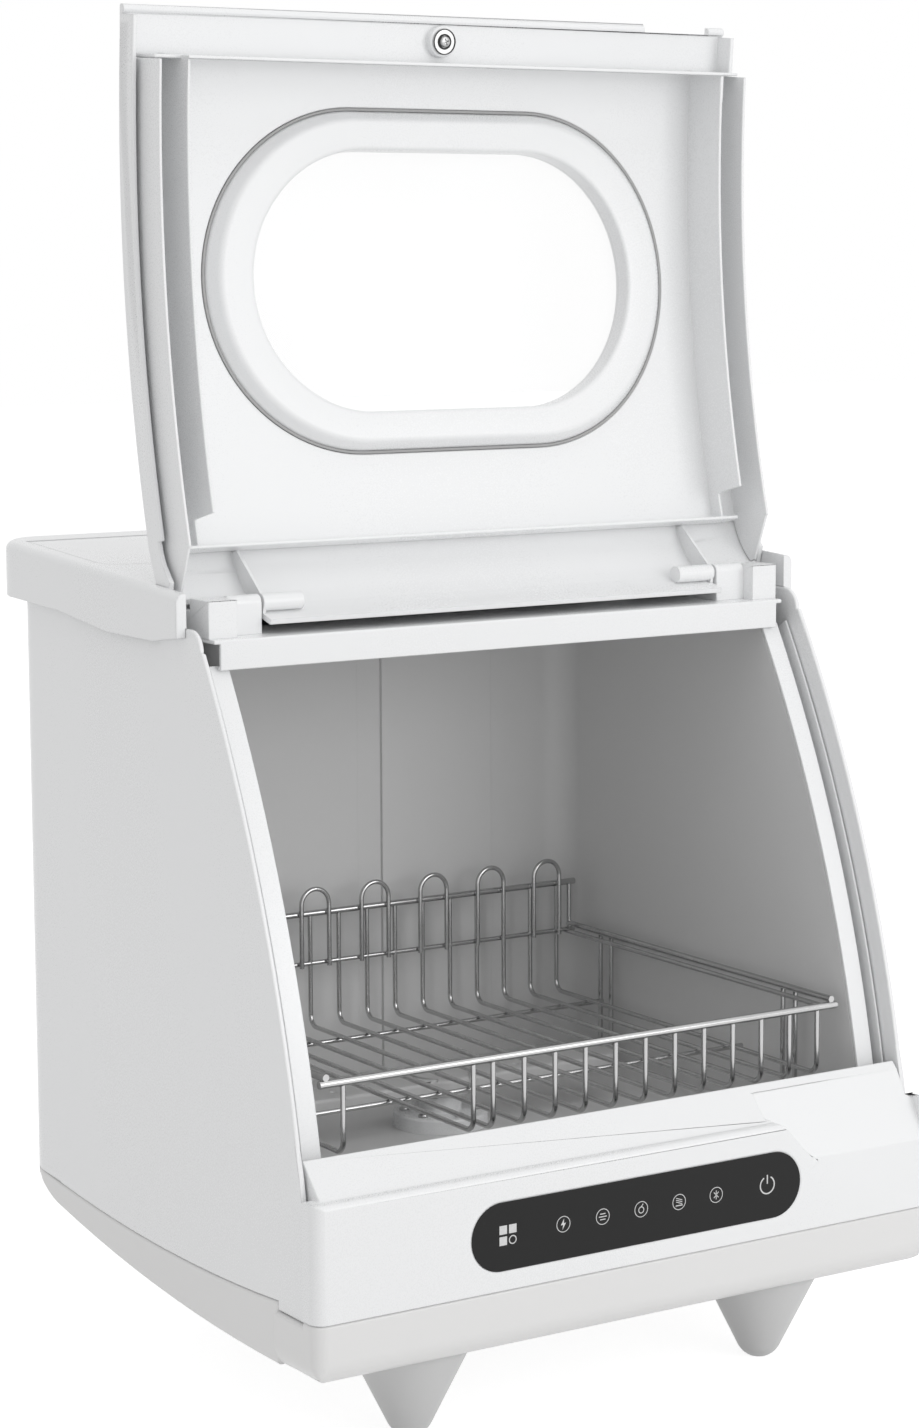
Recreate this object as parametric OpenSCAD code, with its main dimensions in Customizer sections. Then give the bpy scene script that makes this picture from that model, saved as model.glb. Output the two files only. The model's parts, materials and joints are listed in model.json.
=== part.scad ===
// Countertop dishwasher with a curved lid that swings up on two pins.
// Millimetres, X to the right, Y to the rear, Z up. The pieces are drawn with the front of the
// fascia at y = 0, and from_front() then centres them over the object's footprint.

/* [Case] */
// Width over the fascia and the front of the base
case_w = 420; // [410:1:440]
// Step in from the fascia to a side panel
side_step = 3; // [2:0.5:4]
// Depth from the fascia to the rear panel
case_d = 361; // [358:1:368]
// Thickness of the outer shells
wall = 3; // [2.5:0.1:3.2]
// Radius of the upright rear corners
corner_r = 25; // [20:1:30]
// Radius between the underside and the rear panel
belly_r = 55; // [50:1:56]
// Radius of the underside's long arc
under_r = 1400; // [1300:20:1500]
// Depth of that arc's lowest line
under_y = 60; // [56:1:64]
// Height of that line
under_z = 55.5; // [55:0.1:56]
// Height of the lowest point of the curved seam between the base and the shells above it
seam_z = 86.3; // [86.2:0.1:88]
// Depth of that point
seam_y = 165; // [150:1:180]
// Radius of the seam
seam_r = 1500; // [1400:20:1700]
// Open gap at the seams
seam_gap = 0.4; // [0.2:0.1:0.6]
// Space over the tub's ceiling, up to the side panels' upper edge
roof_gap = 10.7; // [8:0.1:12]
// Radius at the panels' upper front corner
panel_round = 12; // [8:1:14]
// Distance of the rear panel's edge from a side panel's outer face
rear_side = 37; // [32:1:45]

/* [Base front] */
// Height of the underside of the base's front section
base_z = 54; // [53:0.5:56]
// Depth of the front section
step_y = 46; // [40:1:50]
// Height of the panels' lower edge over the front section
notch_z = 86; // [84:0.5:88]
// Radius along the lower edges of the front section
base_round = 14; // [10:1:15]

/* [Fascia] */
// Height of the fascia's lower edge
fascia_z = 89; // [88.8:0.1:90]
// Depth of the fascia's side returns
return_d = 15; // [13:0.5:17]
// Radius of the fascia's upright corners
fascia_round = 8; // [5:0.5:9]
// Height of the ledge under the lid's free edge
ledge_z = 154; // [153:0.5:155]
// Depth at which the sloped deck leaves the ledge
deck_y = 8; // [7:0.5:9]
// Depth of the deck's upper edge
deck_top_y = 26; // [25:0.5:27]
// Height of the deck's upper edge
deck_top_z = 172.6; // [171:0.2:173.6]
// Gap between the deck's end and the inside of a side panel
deck_gap = 1.5; // [1.5:0.5:3]
// How far the finger recess starts before the overlay's end
recess_lap = 18; // [12:0.5:20]
// Length of the recess's curved left end
recess_w = 33; // [30:0.5:36]
// Lower edge of the finger recess
recess_z = 130; // [126:1:134]

/* [Controls] */
// Length of the control overlay
overlay_l = 225; // [200:1:240]
// Height of the control overlay
overlay_h = 38.5; // [34:0.5:42]
// Height of the overlay's centre
overlay_z = 119.3; // [117:0.1:121]
// Thickness of the overlay
overlay_t = 1; // [0.6:0.1:1.4]
// Thickness of the circuit boards
board_t = 1.6; // [1.2:0.1:2]

/* [Lid] */
// Depth of the centre of the lid's long arc
arc_y = 841; // [839:0.5:843]
// Height of that centre
arc_z = 12; // [10:0.5:14]
// Radius of the lid's outer face
lid_r = 851; // [850:0.5:852]
// How far the lid stands proud of the side panels' front edge
lid_proud = 17.5; // [17:0.1:18.5]
// Thickness of the lid's skin
lid_t = 3; // [2.5:0.1:3.2]
// Depth of the lid's side walls
lid_side_d = 16; // [14:0.5:16.5]
// Radius between the lid's arc and its flat top
lid_fillet = 56; // [52:1:60]
// How far the hinge axis lies in front of that radius' centre
pin_set = 4.22; // [3.5:0.01:5]
// Height of the hinge axis over the side panels
pin_rise = 11; // [10.5:0.1:11.5]
// Swing of the lid from open to closed, in degrees
lid_travel = 164.5; // [160:0.5:165]
// Height of the flat top over the hinge axis, when closed
lid_over_pin = 8; // [7.5:0.1:8]
// Depth of the outer skirts
skirt_d = 37.5; // [34:0.5:38]
// Thickness of the skirts and cross walls
skirt_t = 2; // [1.6:0.1:2.2]
// Thickness of the liner's sheet
liner_t = 2; // [1.6:0.1:2.2]

/* [Window] */
// Angle of the window's centre round the lid's arc, in degrees
window_a = 159.9; // [159:0.1:160.5]
// Length of the window ring
ring_l = 315; // [300:1:325]
// Height of the window ring
ring_h = 195; // [185:1:200]
// Width of the ring's face
ring_w = 28; // [24:0.5:29]
// How far the ring stands off the liner
ring_raise = 8; // [6:0.5:9]
// Thickness of the window pane
pane_t = 2.6; // [2:0.1:3]

/* [Hinge] */
// Diameter of the lid's hinge pins
pin_d = 5; // [4:0.5:6]
// Length of a hinge pin
pin_l = 46; // [44:1:47]
// Diameter of the lid's hinge barrels
barrel_d = 10; // [9:0.5:11]
// Distance of a rib plate from a side panel's outer face
rib_set = 51; // [50:0.5:53]
// Running clearance of pins and shafts, on the radius
run_gap = 0.05; // [0.03:0.01:0.08]

/* [Tub] */
// Width of the groove that takes the lid's outer skirt
groove_w = 5; // [4.6:0.1:6]
// Width of the flange between the tub and the groove
flange_w = 12; // [11:0.1:13]
// How far the flange lies behind the side panels' front edge
flange_set = 14; // [13.5:0.1:15]
// Depth of the groove
groove_d = 20; // [18:0.5:21]
// Thickness of the tub
tub_t = 2; // [1.6:0.1:2.2]
// Inside height of the tub's floor
tub_floor = 123; // [122.5:0.5:123.5]
// Inside height of the tub's ceiling
tub_roof = 435.3; // [433:0.1:435.3]
// Inside depth of the tub's front wall
tub_front = 31; // [30.5:0.1:32]
// Distance of the tub's rear wall from the rear panel's outer face
tub_gap = 14; // [13:0.5:16]
// Height of the tub's front wall
tub_sill = 168; // [166:0.5:168]
// Radius of the tub's rear corners
tub_corner = 18; // [12:1:24]

/* [Cap] */
// Overhang of the cap past the side panels
cap_side = 6; // [5:0.5:8]
// Overhang of the cap past the rear panel
cap_rear = 18; // [16:0.5:20]
// Radius of the cap's rear corners
cap_corner = 28; // [24:1:32]
// Height of the cap's top over the side panels, at its front ends
cap_rise = 19.4; // [19:0.1:21]
// How far those front ends lie in front of the hinge axis
horn_set = 8; // [6:0.5:10]
// Slope of the cap's top, in degrees
cap_slope = 3.62; // [3.2:0.01:4]
// Distance of the cap's front edge behind the hinge axis, between the ends
cap_set = 28.5; // [28:0.5:30]
// Width of the two front ends
horn_w = 6.5; // [5:0.1:6.5]
// Width of the cap beside the fill cover
cover_side = 13; // [11:1:23]
// Distance of the fill cover's front edge behind the cap's
cover_gap = 73.5; // [71.5:0.5:79.5]
// Distance of the fill cover's hinge axis from the rear panel's outer face
cover_set = 9; // [8:0.5:13]
// Diameter of the fill cover's hinge pins
cover_pin_d = 3; // [2.5:0.1:3]
// Radius of the fill cover's front corners
cover_corner = 14; // [10:1:18]

/* [Feet] */
// Distance of a front foot from the side of the fascia
foot_side = 88; // [82:1:95]
// Distance of a rear foot from the side of the fascia
rear_foot_side = 110; // [100:1:120]
// Depth of the front feet
foot_y = 50; // [48:1:54]
// Distance of the rear feet from the rear panel's outer face
rear_foot_set = 76; // [71:1:86]
// Radius of a foot at its top
foot_r = 34; // [30:1:36]
// Radius of a foot's rounded tip
tip_r = 14; // [12:1:16]
// Radius of the flat that a foot stands on
foot_flat = 6; // [4:0.5:8]

/* [Dish rack] */
// Gap between an end of the rack's rim and the tub's wall
rack_side = 6.5; // [6.5:0.5:12]
// Diameter of the rim wire
rim_d = 4.5; // [4:0.1:5]
// Diameter of the cross wires
wire_d = 3; // [2.6:0.1:3.4]
// Depth of the front rim
rack_y = 50; // [49:0.5:54]
// Height of the front rim
rack_z = 205; // [200:1:208]
// Height of the rack's bottom
rack_floor = 165; // [164:0.5:168]
// Distance of the rear rail from the tub's rear wall
rack_gap = 22; // [17:1:29]
// Height of the rear rail
rear_rail_z = 237; // [232:1:242]
// Bend radius of the cross wires
wire_bend = 7; // [6:0.5:9]
// Number of plate loops along the rear rail
loops = 8; // [6:1:8]

/* [Spray] */
// Depth of the spray hub's centre
hub_y = 210; // [208:0.5:212]
// Diameter of the hub's flange
hub_d = 58; // [54:1:62]
// Height of the hub's flange over the tub floor
hub_h = 9; // [7:0.5:10]
// Diameter of the hub's column
column_d = 26; // [24:0.5:30]
// Height of the column over the flange
column_h = 11; // [10:0.5:12]
// Circle of the hub's screws
hub_pcd = 44; // [42:0.5:46]
// Length of the spray arm
arm_l = 256; // [220:2:264]
// Width of the spray arm
arm_w = 28; // [24:1:34]
// Diameter of the spray arm's spigot
spigot_d = 12; // [10:0.5:14]

/* [Sump and pumps] */
// Outer radius of the sump
sump_r = 55; // [52:0.5:57]
// Height of the sump's underside
sump_z = 85; // [84:0.5:87]
// Distance of the filter's axis from the tub's right wall
filter_side = 64.5; // [60:0.5:72]
// Depth of the filter
filter_y = 80; // [78:1:86]
// Radius of the filter's flange
filter_r = 31; // [29:0.5:33]
// Depth of the wash pump's axis
wash_y = 196; // [194:0.5:198]
// Height of the wash pump's axis
wash_z = 97.5; // [97:0.1:98]
// Radius of the wash pump's housing
wash_r = 21.5; // [20:0.5:22]
// Distance of the pumps' front faces from the middle
pump_x = 70; // [68:0.5:76]
// Distance of the drain pump's axis from the rear panel's outer face
drain_set = 61; // [59:1:65]
// Height of the drain pump's axis
drain_z = 102; // [101.5:0.1:102.5]
// Radius of the drain pump's housing
drain_r = 17; // [15:0.5:17.5]
// Diameter of the wash pump's shaft
wash_shaft = 5; // [4:0.5:6]
// Diameter of the drain pump's and the fan's shafts
small_shaft = 4; // [3:0.5:5]
// Wall of the pumps, pipes and tank
thin = 2; // [1.6:0.1:2.2]

/* [Water tank] */
// Right end of the tank
tank_x2 = -62; // [-70:1:-62]
// Front of the tank
tank_y1 = 60; // [56:1:66]
// Distance of the tank's rear from the rear panel's outer face
tank_set = 49; // [49:1:56]
// Height of the tank's underside
tank_z1 = 82; // [81.5:0.1:82.5]
// Height of the tank's top
tank_z2 = 118; // [116:0.5:118]
// Diameter of the float
float_d = 30; // [26:1:36]
// Height of the float
float_h = 14; // [12:1:16]
// Diameter of the float's stem
stem_d = 6; // [5:0.5:7]
// Outer diameter of the fill hose
fill_d = 14; // [12:0.5:14]
// Distance of the fill hose from the rear panel's outer face
fill_set = 61; // [51:1:71]

/* [Drying] */
// Distance of the fan from the rear panel's edge
fan_side = 60; // [50:1:70]
// Distance of the fan's axis behind the cap's front edge
fan_set = 38.5; // [37.5:0.5:39.5]
// Radius of the fan's housing
fan_r = 30; // [27:0.5:30]
// Height of the fan's housing
fan_h = 22; // [20:0.5:23]

/* [Hidden] */
$fn = 64;
white = "#e9ebec";
warm_white = "#dcdcda";
light_grey = "#c8cacb";
mid_grey = "#9a9c9e";
black = "#17181a";
steel = "#b4b6b8";
far = 700;

seat = 0.3;
total_d = case_d + cap_rear;
panel_out = case_w / 2 - side_step;
panel_in = panel_out - wall;
panel_top = tub_roof + roof_gap;
rear_half = panel_out - rear_side;
cap_out = panel_out + cap_side;
tub_back = case_d - tub_gap;
foot_x = case_w / 2 - foot_side;
rear_foot_x = case_w / 2 - rear_foot_side;
rear_foot_y = case_d - rear_foot_set;
panel_r = lid_r - lid_proud;
belly_y = case_d - belly_r;
belly_dip = 0.05;
belly_z = under_z + under_r - belly_dip
    - sqrt(pow(under_r - belly_r, 2) - pow(belly_y - under_y, 2));
belly_a = asin((belly_y - under_y) / (under_r - belly_r));
lid_half = panel_out - 1;
lid_in = lid_half - wall;

groove_out = panel_in - 1;
lip_t = 1.5;
groove_in = groove_out - lip_t - groove_w;
tub_in = groove_in - flange_w;
tub_out = tub_in + tub_t;
rail_half = tub_in + 7.5;
flange_r = panel_r - flange_set;
lip_r = flange_r + 2;
groove_r = flange_r - groove_d;
tub_under = tub_floor - tub_t;

skirt_a = panel_in - 3.5;
skirt_b = tub_in - 1.5;
liner_r = lid_r - lid_t - seat;
liner_in = liner_r - liner_t;
pin_z = panel_top + pin_rise;
lid_top = pin_z + lid_over_pin;
fil_z = lid_top - lid_fillet;
fil_y = arc_y - sqrt(pow(lid_r - lid_fillet, 2) - pow(fil_z - arc_z, 2));
pin_y = fil_y - pin_set;
rib_x = panel_out - rib_set;
fil_a = 180 - asin((fil_z - arc_z) / (lid_r - lid_fillet));
tip_a = 180 - asin((ledge_z + 2 - arc_z) / lid_r);
nose_a = tip_a - 1.85;
skirt_a_top = 149.5;
skirt_b_top = 150.8;
ridge_a = 149.7;
lid_end_y = pin_y - 15;
tail_y = pin_y + 14;
catch_a = tip_a - 0.95;
catch_x = 0.5;
deck_half = panel_in - deck_gap;
deck_a = atan2(deck_top_z - ledge_z, deck_top_y - deck_y);
recess_x1 = overlay_l / 2 - recess_lap;
recess_y = deck_y + 14;
recess_top = deck_at(recess_y);
recess_x2 = deck_half + 3.5;
recess_a = atan2(recess_top - recess_z, recess_y);
rail_top = panel_top - 6;
rail_y = pin_y - 20;
cap_z0 = panel_top + cap_rise;
cap_y0 = pin_y - horn_set;
cap_front = pin_y + cap_set;
cover_y = cap_front + cover_gap;
fan_y = cap_front + fan_set;
cover_half = cap_out - cover_side;
cover_pin_y = case_d - cover_set;
arm_z = tub_floor + hub_h + column_h + seat;
cover_pin_z = cap_at(cover_pin_y) - wall;
fill_x = -(panel_in - fill_d / 2 - 1.7);
fill_y = case_d - fill_set;
tank_y2 = case_d - tank_set;
drain_y = case_d - drain_set;
filter_x = tub_in - filter_side;
fan_x = rear_half - fan_side;
rack_half = tub_in - rack_side;
rack_back = tub_back - rack_gap;

// Height of the deck at a depth
function deck_at(y) = ledge_z + (y - deck_y) * (deck_top_z - ledge_z) / (deck_top_y - deck_y);
// Height of the cap's top at a depth
function cap_at(y) = cap_z0 + (y - cap_y0) * tan(cap_slope);
// Height of the underside at a depth, i above the outer face
function under_at(y, i) = under_z + under_r - sqrt(pow(under_r - i, 2) - pow(y - under_y, 2));
// Point on a circle round the lid's arc centre
function on_arc(r, a) = [arc_y + r * cos(a), arc_z + r * sin(a)];
// Point on a circle round the fillet's centre
function on_fillet(r, a) = [fil_y + r * cos(a), fil_z + r * sin(a)];

module from_front() {
    translate([0, -total_d / 2, 0]) children();
}
module both_sides() {
    children();
    mirror([1, 0, 0]) children();
}
// Extrudes a (y, z) outline along X
module along_x(x1, x2) {
    translate([x1, 0, 0]) rotate([90, 0, 90]) linear_extrude(x2 - x1) children();
}
// Extrudes an (x, z) outline along Y
module along_y(y1, y2) {
    translate([0, y2, 0]) rotate([90, 0, 0]) linear_extrude(y2 - y1) children();
}
module box(x1, x2, y1, y2, z1, z2) {
    translate([x1, y1, z1]) cube([x2 - x1, y2 - y1, z2 - z1]);
}
module rod_x(x1, x2, y, z, d) {
    translate([x1, y, z]) rotate([0, 90, 0]) cylinder(d = d, h = x2 - x1);
}
module rod_y(x, y1, y2, z, d) {
    translate([x, y1, z]) rotate([-90, 0, 0]) cylinder(d = d, h = y2 - y1);
}
module rod_z(x, y, z1, z2, d) {
    translate([x, y, z1]) cylinder(d = d, h = z2 - z1);
}
// A quarter bend of wire, from +u toward +v, centred on its bend centre
module bend(r, d) {
    rotate_extrude(angle = 90) translate([r, 0]) circle(d = d, $fn = 24);
}
module stadium(l, w) {
    square([l - w, w], center = true);
    translate([(l - w) / 2, 0]) circle(d = w, $fn = 128);
    translate([(w - l) / 2, 0]) circle(d = w, $fn = 128);
}
// Plan outline with two rounded rear corners
module plan(half, front, rear, r) {
    translate([-half, front]) square([2 * half, rear - r - front]);
    translate([r - half, front]) square([2 * (half - r), rear - front]);
    translate([half - r, rear - r]) circle(r);
    translate([r - half, rear - r]) circle(r);
}
// Plan outline with two rounded front corners
module front_plan(half, front, rear, r) {
    translate([-half, front + r]) square([2 * half, rear - r - front]);
    translate([r - half, front]) square([2 * (half - r), rear - front]);
    translate([half - r, front + r]) circle(r);
    translate([r - half, front + r]) circle(r);
}
// Side outline of the case behind the front section, i in from its faces
module belly(i) {
    r = belly_r - i;
    meet_y = belly_y + r * sin(belly_a);
    intersection() {
        translate([under_y, under_z + under_r]) circle(under_r - i, $fn = 360);
        translate([-30, 0]) square([meet_y + 30, far]);
    }
    translate([belly_y, belly_z]) square([case_d - i - belly_y, far]);
    translate([belly_y, belly_z]) circle(r, $fn = 128);
}
// Everything over the curved seam, grown by g
module over_seam(g) {
    translate([seam_y, seam_z + seam_r]) circle(seam_r + g, $fn = 360);
}
// The case as a block, i in from its faces
module case_block(i) {
    intersection() {
        linear_extrude(far) plan(panel_out - i, -30, case_d - i, corner_r - i);
        along_x(-far, far) belly(i);
    }
}
module case_shell() {
    difference() {
        case_block(0);
        case_block(wall);
    }
}
// Side outline of a side panel, with its long arc and rounded upper corner
module panel_outline() {
    round_z = panel_top - panel_round;
    round_y = arc_y - sqrt(pow(panel_r - panel_round, 2) - pow(round_z - arc_z, 2));
    intersection() {
        translate([arc_y, arc_z]) circle(panel_r, $fn = 360);
        union() {
            translate([return_d, notch_z]) square([step_y - return_d, 30]);
            intersection() {
                over_seam(0);
                translate([return_d, notch_z]) square([case_d + 9 - return_d, round_z - notch_z]);
            }
        }
    }
    translate([return_d, notch_z]) square([9, ledge_z - 8 - notch_z]);
    translate([round_y, round_z]) square([case_d + 9 - round_y, panel_round]);
    translate([round_y, round_z]) circle(panel_round);
}
module side_panel() {
    tab_t = 2.7;
    tab = 15;
    intersection() {
        case_shell();
        along_x(-far, far) panel_outline();
        box(-far, -rear_half, -far, far, 0, far);
    }
    box(-rear_half - tab, tab - rear_half, case_d - wall - seat - tab_t, case_d - wall - seat,
        belly_z + 8, panel_top - 12);
    box(-rear_half - tab, -rear_half - seat, case_d - wall - tab_t, case_d - wall + 0.5,
        belly_z + 8, panel_top - 12);
}
module left_side_panel() {
    color(white) from_front() difference() {
        side_panel();
        rear_screw_places(4, 30);
    }
}
module right_side_panel() {
    color(white) from_front() difference() {
        mirror([1, 0, 0]) side_panel();
        rear_screw_places(4, 30);
    }
}
screw_x = rear_half - 7.5;
screw_rows = [150, 290, panel_top - 26];
module rear_screw_places(d, l) {
    for (z = screw_rows) both_sides() rod_y(screw_x, case_d + 1 - l, case_d + 1, z, d);
}
module rear_screws() {
    color(steel) from_front() for (z = screw_rows) both_sides() {
        rod_y(screw_x, case_d + 0.05, case_d + 2.5, z, 8);
        rod_y(screw_x, case_d - 10, case_d + 0.1, z, 3.7);
    }
}
port_x = pump_x + 8;
port_d = 16;
port_floor = drain_z - port_d / 2 - 5.6;
gland_x = 40 - rear_half;
gland_z = 140;
gland_d = 18;
grille_w = 62;
grille_h = 34;
grille_z = panel_top - 28;
module rear_panel() {
    color(white) from_front() difference() {
        union() {
            intersection() {
                case_shell();
                along_x(-rear_half, rear_half) over_seam(0);
                box(-far, far, case_d - 40, case_d + 9, 0, panel_top);
            }
            box(port_x - 16, port_x + 16, case_d - 11, case_d, drain_z, belly_z + 2);
            box(port_x - 16, port_x + 16, case_d - 31, case_d, port_floor, drain_z + 12);
        }
        rear_screw_places(4, 30);
        rod_y(port_x, case_d - 34, case_d + 9, drain_z, port_d + 0.4);
        rod_y(gland_x, case_d - 30, case_d + 9, gland_z, gland_d + 0.4);
        box(fan_x - grille_w / 2, fan_x + grille_w / 2, case_d - 20, case_d + 9,
            grille_z - grille_h / 2, grille_z + grille_h / 2);
    }
}
module rear_grille() {
    color(light_grey) from_front() difference() {
        union() {
            box(fan_x - grille_w / 2 - 5, fan_x + grille_w / 2 + 5, case_d + 0.05, case_d + 2,
                grille_z - grille_h / 2 - 5, grille_z + grille_h / 2 + 5);
            box(fan_x - grille_w / 2 + seat, fan_x + grille_w / 2 - seat, case_d - wall, case_d + 0.1,
                grille_z - grille_h / 2 + seat, grille_z + grille_h / 2 - seat);
        }
        for (i = [-2 : 2]) box(fan_x - grille_w / 2 + 4, fan_x + grille_w / 2 - 4, case_d - 9,
            case_d + 9, grille_z + i * 6 - 1.6, grille_z + i * 6 + 1.6);
    }
}
module cable_gland() {
    color(black) from_front() difference() {
        union() {
            rod_y(gland_x, case_d + 0.05, case_d + 4, gland_z, gland_d + 7);
            rod_y(gland_x, case_d - wall - 3, case_d + 8, gland_z, gland_d);
        }
        rod_y(gland_x, case_d - 20, case_d + 20, gland_z, 8);
    }
}

// The base's front section, i in from its faces
module front_block(i) {
    r = base_round - i;
    intersection() {
        along_x(-far, far) {
            translate([base_round, base_z + i]) square([step_y - base_round, far]);
            translate([i, base_z + base_round]) square([step_y - i, far]);
            translate([base_round, base_z + base_round]) circle(r);
        }
        along_y(-10, step_y) {
            translate([base_round - case_w / 2, base_z + i]) square([case_w - 2 * base_round, far]);
            translate([i - case_w / 2, base_z + base_round]) square([case_w - 2 * i, far]);
            translate([base_round - case_w / 2, base_z + base_round]) circle(r);
            translate([case_w / 2 - base_round, base_z + base_round]) circle(r);
        }
        linear_extrude(fascia_z - seam_gap + (i > 0 ? 9 : 0))
            front_plan(case_w / 2 - i, i, far, fascia_round - i);
    }
}
module foot_places() {
    both_sides() translate([foot_x, foot_y, 0]) children();
    both_sides() translate([rear_foot_x, rear_foot_y, 0]) children();
}
// Posts and ribs that carry the inner pieces, all cut to the tray's underside
module tray_posts() {
    front_x = tub_in - 44.5;
    rear_x = tub_in - 84.5;
    both_sides() box(front_x, front_x + 10, step_y, step_y + 10, 40, tub_under - seat);
    both_sides() box(rear_x, rear_x + 10, tub_back - 20, tub_back - 11, 40, tub_under - seat);
    for (y = [tank_y1 + 40, tank_y2 - 62])
        box(-panel_in + 20, tank_x2 - 9, y, y + 4, 40, tank_z1 - seat);
    box(-30, 30, hub_y - 32, hub_y - 28, 40, sump_z - seat);
    box(-30, 30, hub_y + 28, hub_y + 32, 40, sump_z - seat);
    box(filter_x - 3, filter_x + 3, filter_y - 12, filter_y + 12, 40, sump_z + 3 - seat);
    box(pump_x + 5, pump_x + 15, wash_y - 3, wash_y + 3, 40, wash_z - wash_r - seat);
    box(pump_x + 50, pump_x + 60, wash_y - 3, wash_y + 3, 40, wash_z - wash_r + 2.2);
    box(pump_x + 4, pump_x + 11, drain_y - 3, drain_y + 3, 40, drain_z - drain_r - seat);
    box(pump_x + 34, pump_x + 44, drain_y - 3, drain_y + 3, 40, drain_z - drain_r + 2.7);
}
module base_tray() {
    color(warm_white) from_front() difference() {
        union() {
            difference() {
                union() {
                    intersection() {
                        case_block(0);
                        along_x(-far, far) difference() {
                            translate([step_y, 0]) square([far, notch_z + 40]);
                            over_seam(seam_gap);
                        }
                    }
                    difference() {
                        front_block(0);
                        box(-far, far, return_d, far, notch_z - seam_gap, far);
                    }
                    foot_places() translate([0, 0, base_z])
                        cylinder(r = foot_r, h = under_at(foot_y, 1) - base_z);
                    both_sides() translate([rear_foot_x, rear_foot_y, base_z])
                        cylinder(r = foot_r, h = under_at(rear_foot_y, 1) - base_z);
                }
                intersection() {
                    case_block(wall);
                    box(-far, far, step_y - wall, far, 0, far);
                }
                intersection() {
                    front_block(wall);
                    box(-panel_in, panel_in, -10, step_y - wall, 0, far);
                }
            }
            intersection() {
                case_block(1);
                tray_posts();
            }
        }
        foot_places() rod_z(0, 0, 40, 80, 5.2);
        box(port_x - 16 - seam_gap, port_x + 16 + seam_gap, case_d - 60, far,
            port_floor - seam_gap, far);
    }
}
// One foot, standing on z = 0 at the origin
module foot() {
    tip_z = sqrt(tip_r * tip_r - foot_flat * foot_flat);
    shoulder = base_z - 4;
    slant = atan2(shoulder - tip_z, foot_r);
    reach = norm([foot_r, shoulder - tip_z]);
    touch = slant - acos(tip_r / reach);
    touch_r = tip_r * cos(touch);
    touch_z = tip_z + tip_r * sin(touch);
    difference() {
        union() {
            intersection() {
                translate([0, 0, tip_z]) sphere(tip_r);
                cylinder(r = foot_r, h = base_z);
            }
            translate([0, 0, touch_z]) cylinder(r1 = touch_r, r2 = foot_r, h = shoulder - touch_z);
            translate([0, 0, shoulder]) cylinder(r = foot_r, h = base_z - shoulder);
        }
        translate([0, 0, base_z - 18]) cylinder(d = 5, h = 20);
    }
}
module front_left_foot() {
    color(light_grey) from_front() translate([-foot_x, foot_y, 0]) foot();
}
module front_right_foot() {
    color(light_grey) from_front() translate([foot_x, foot_y, 0]) foot();
}
module rear_left_foot() {
    color(light_grey) from_front() translate([-rear_foot_x, rear_foot_y, 0]) foot();
}
module rear_right_foot() {
    color(light_grey) from_front() translate([rear_foot_x, rear_foot_y, 0]) foot();
}
module foot_screw(floor_z) {
    rod_z(0, 0, base_z - 14, floor_z + 0.5, 4.8);
    rod_z(0, 0, floor_z + seat, floor_z + 3.3, 9);
}
module foot_screws() {
    color(steel) from_front() {
        both_sides() translate([foot_x, foot_y, 0]) foot_screw(under_at(foot_y + 4.5, wall));
        both_sides() translate([rear_foot_x, rear_foot_y, 0])
            foot_screw(under_at(rear_foot_y + 4.5, wall));
    }
}

// Section of the fascia's face and ledge, i in from its faces
module face_section(i) {
    r = 4;
    translate([i, fascia_z - i * 9]) square([return_d - i + i * 3, ledge_z - r - fascia_z + i * 9]);
    translate([r, ledge_z - r - 1]) square([return_d - r + i * 3, r + 1 - i]);
    translate([r, ledge_z - r]) circle(r - i, $fn = 48);
}
// Section of the sloped deck with its turned-down rear lip
module deck_section() {
    drop = wall / cos(deck_a);
    polygon([
        [4, ledge_z - wall], [4, ledge_z], [deck_y, ledge_z], [deck_top_y, deck_top_z],
        [deck_top_y + 2.2, deck_top_z - 1.6], [deck_top_y + 2.2, tub_sill - 4],
        [deck_top_y - 0.2, tub_sill - 4], [deck_top_y - 0.2, deck_at(deck_top_y - 0.2) - drop],
        [deck_y, ledge_z - drop]
    ]);
}
// Section of the wall that closes an end of the deck
module deck_end() {
    polygon([
        [4, ledge_z - wall], [4, ledge_z], [deck_y, ledge_z], [deck_top_y, deck_top_z],
        [deck_top_y + 2.2, deck_top_z - 1.6], [deck_top_y + 2.2, ledge_z - wall]
    ]);
}
// Section of the finger recess: what it takes away, and the wall behind it
module recess_cut() {
    polygon([
        [-2, recess_z - 2 * tan(recess_a)], [recess_y, recess_top], [recess_y - 9, recess_top + 30],
        [-2, recess_top + 30]
    ]);
}
module recess_wall() {
    n = [wall * sin(recess_a), -wall * cos(recess_a)];
    polygon([[0, recess_z], [recess_y, recess_top], [recess_y, recess_top] + n, [0, recess_z] + n]);
}
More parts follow.
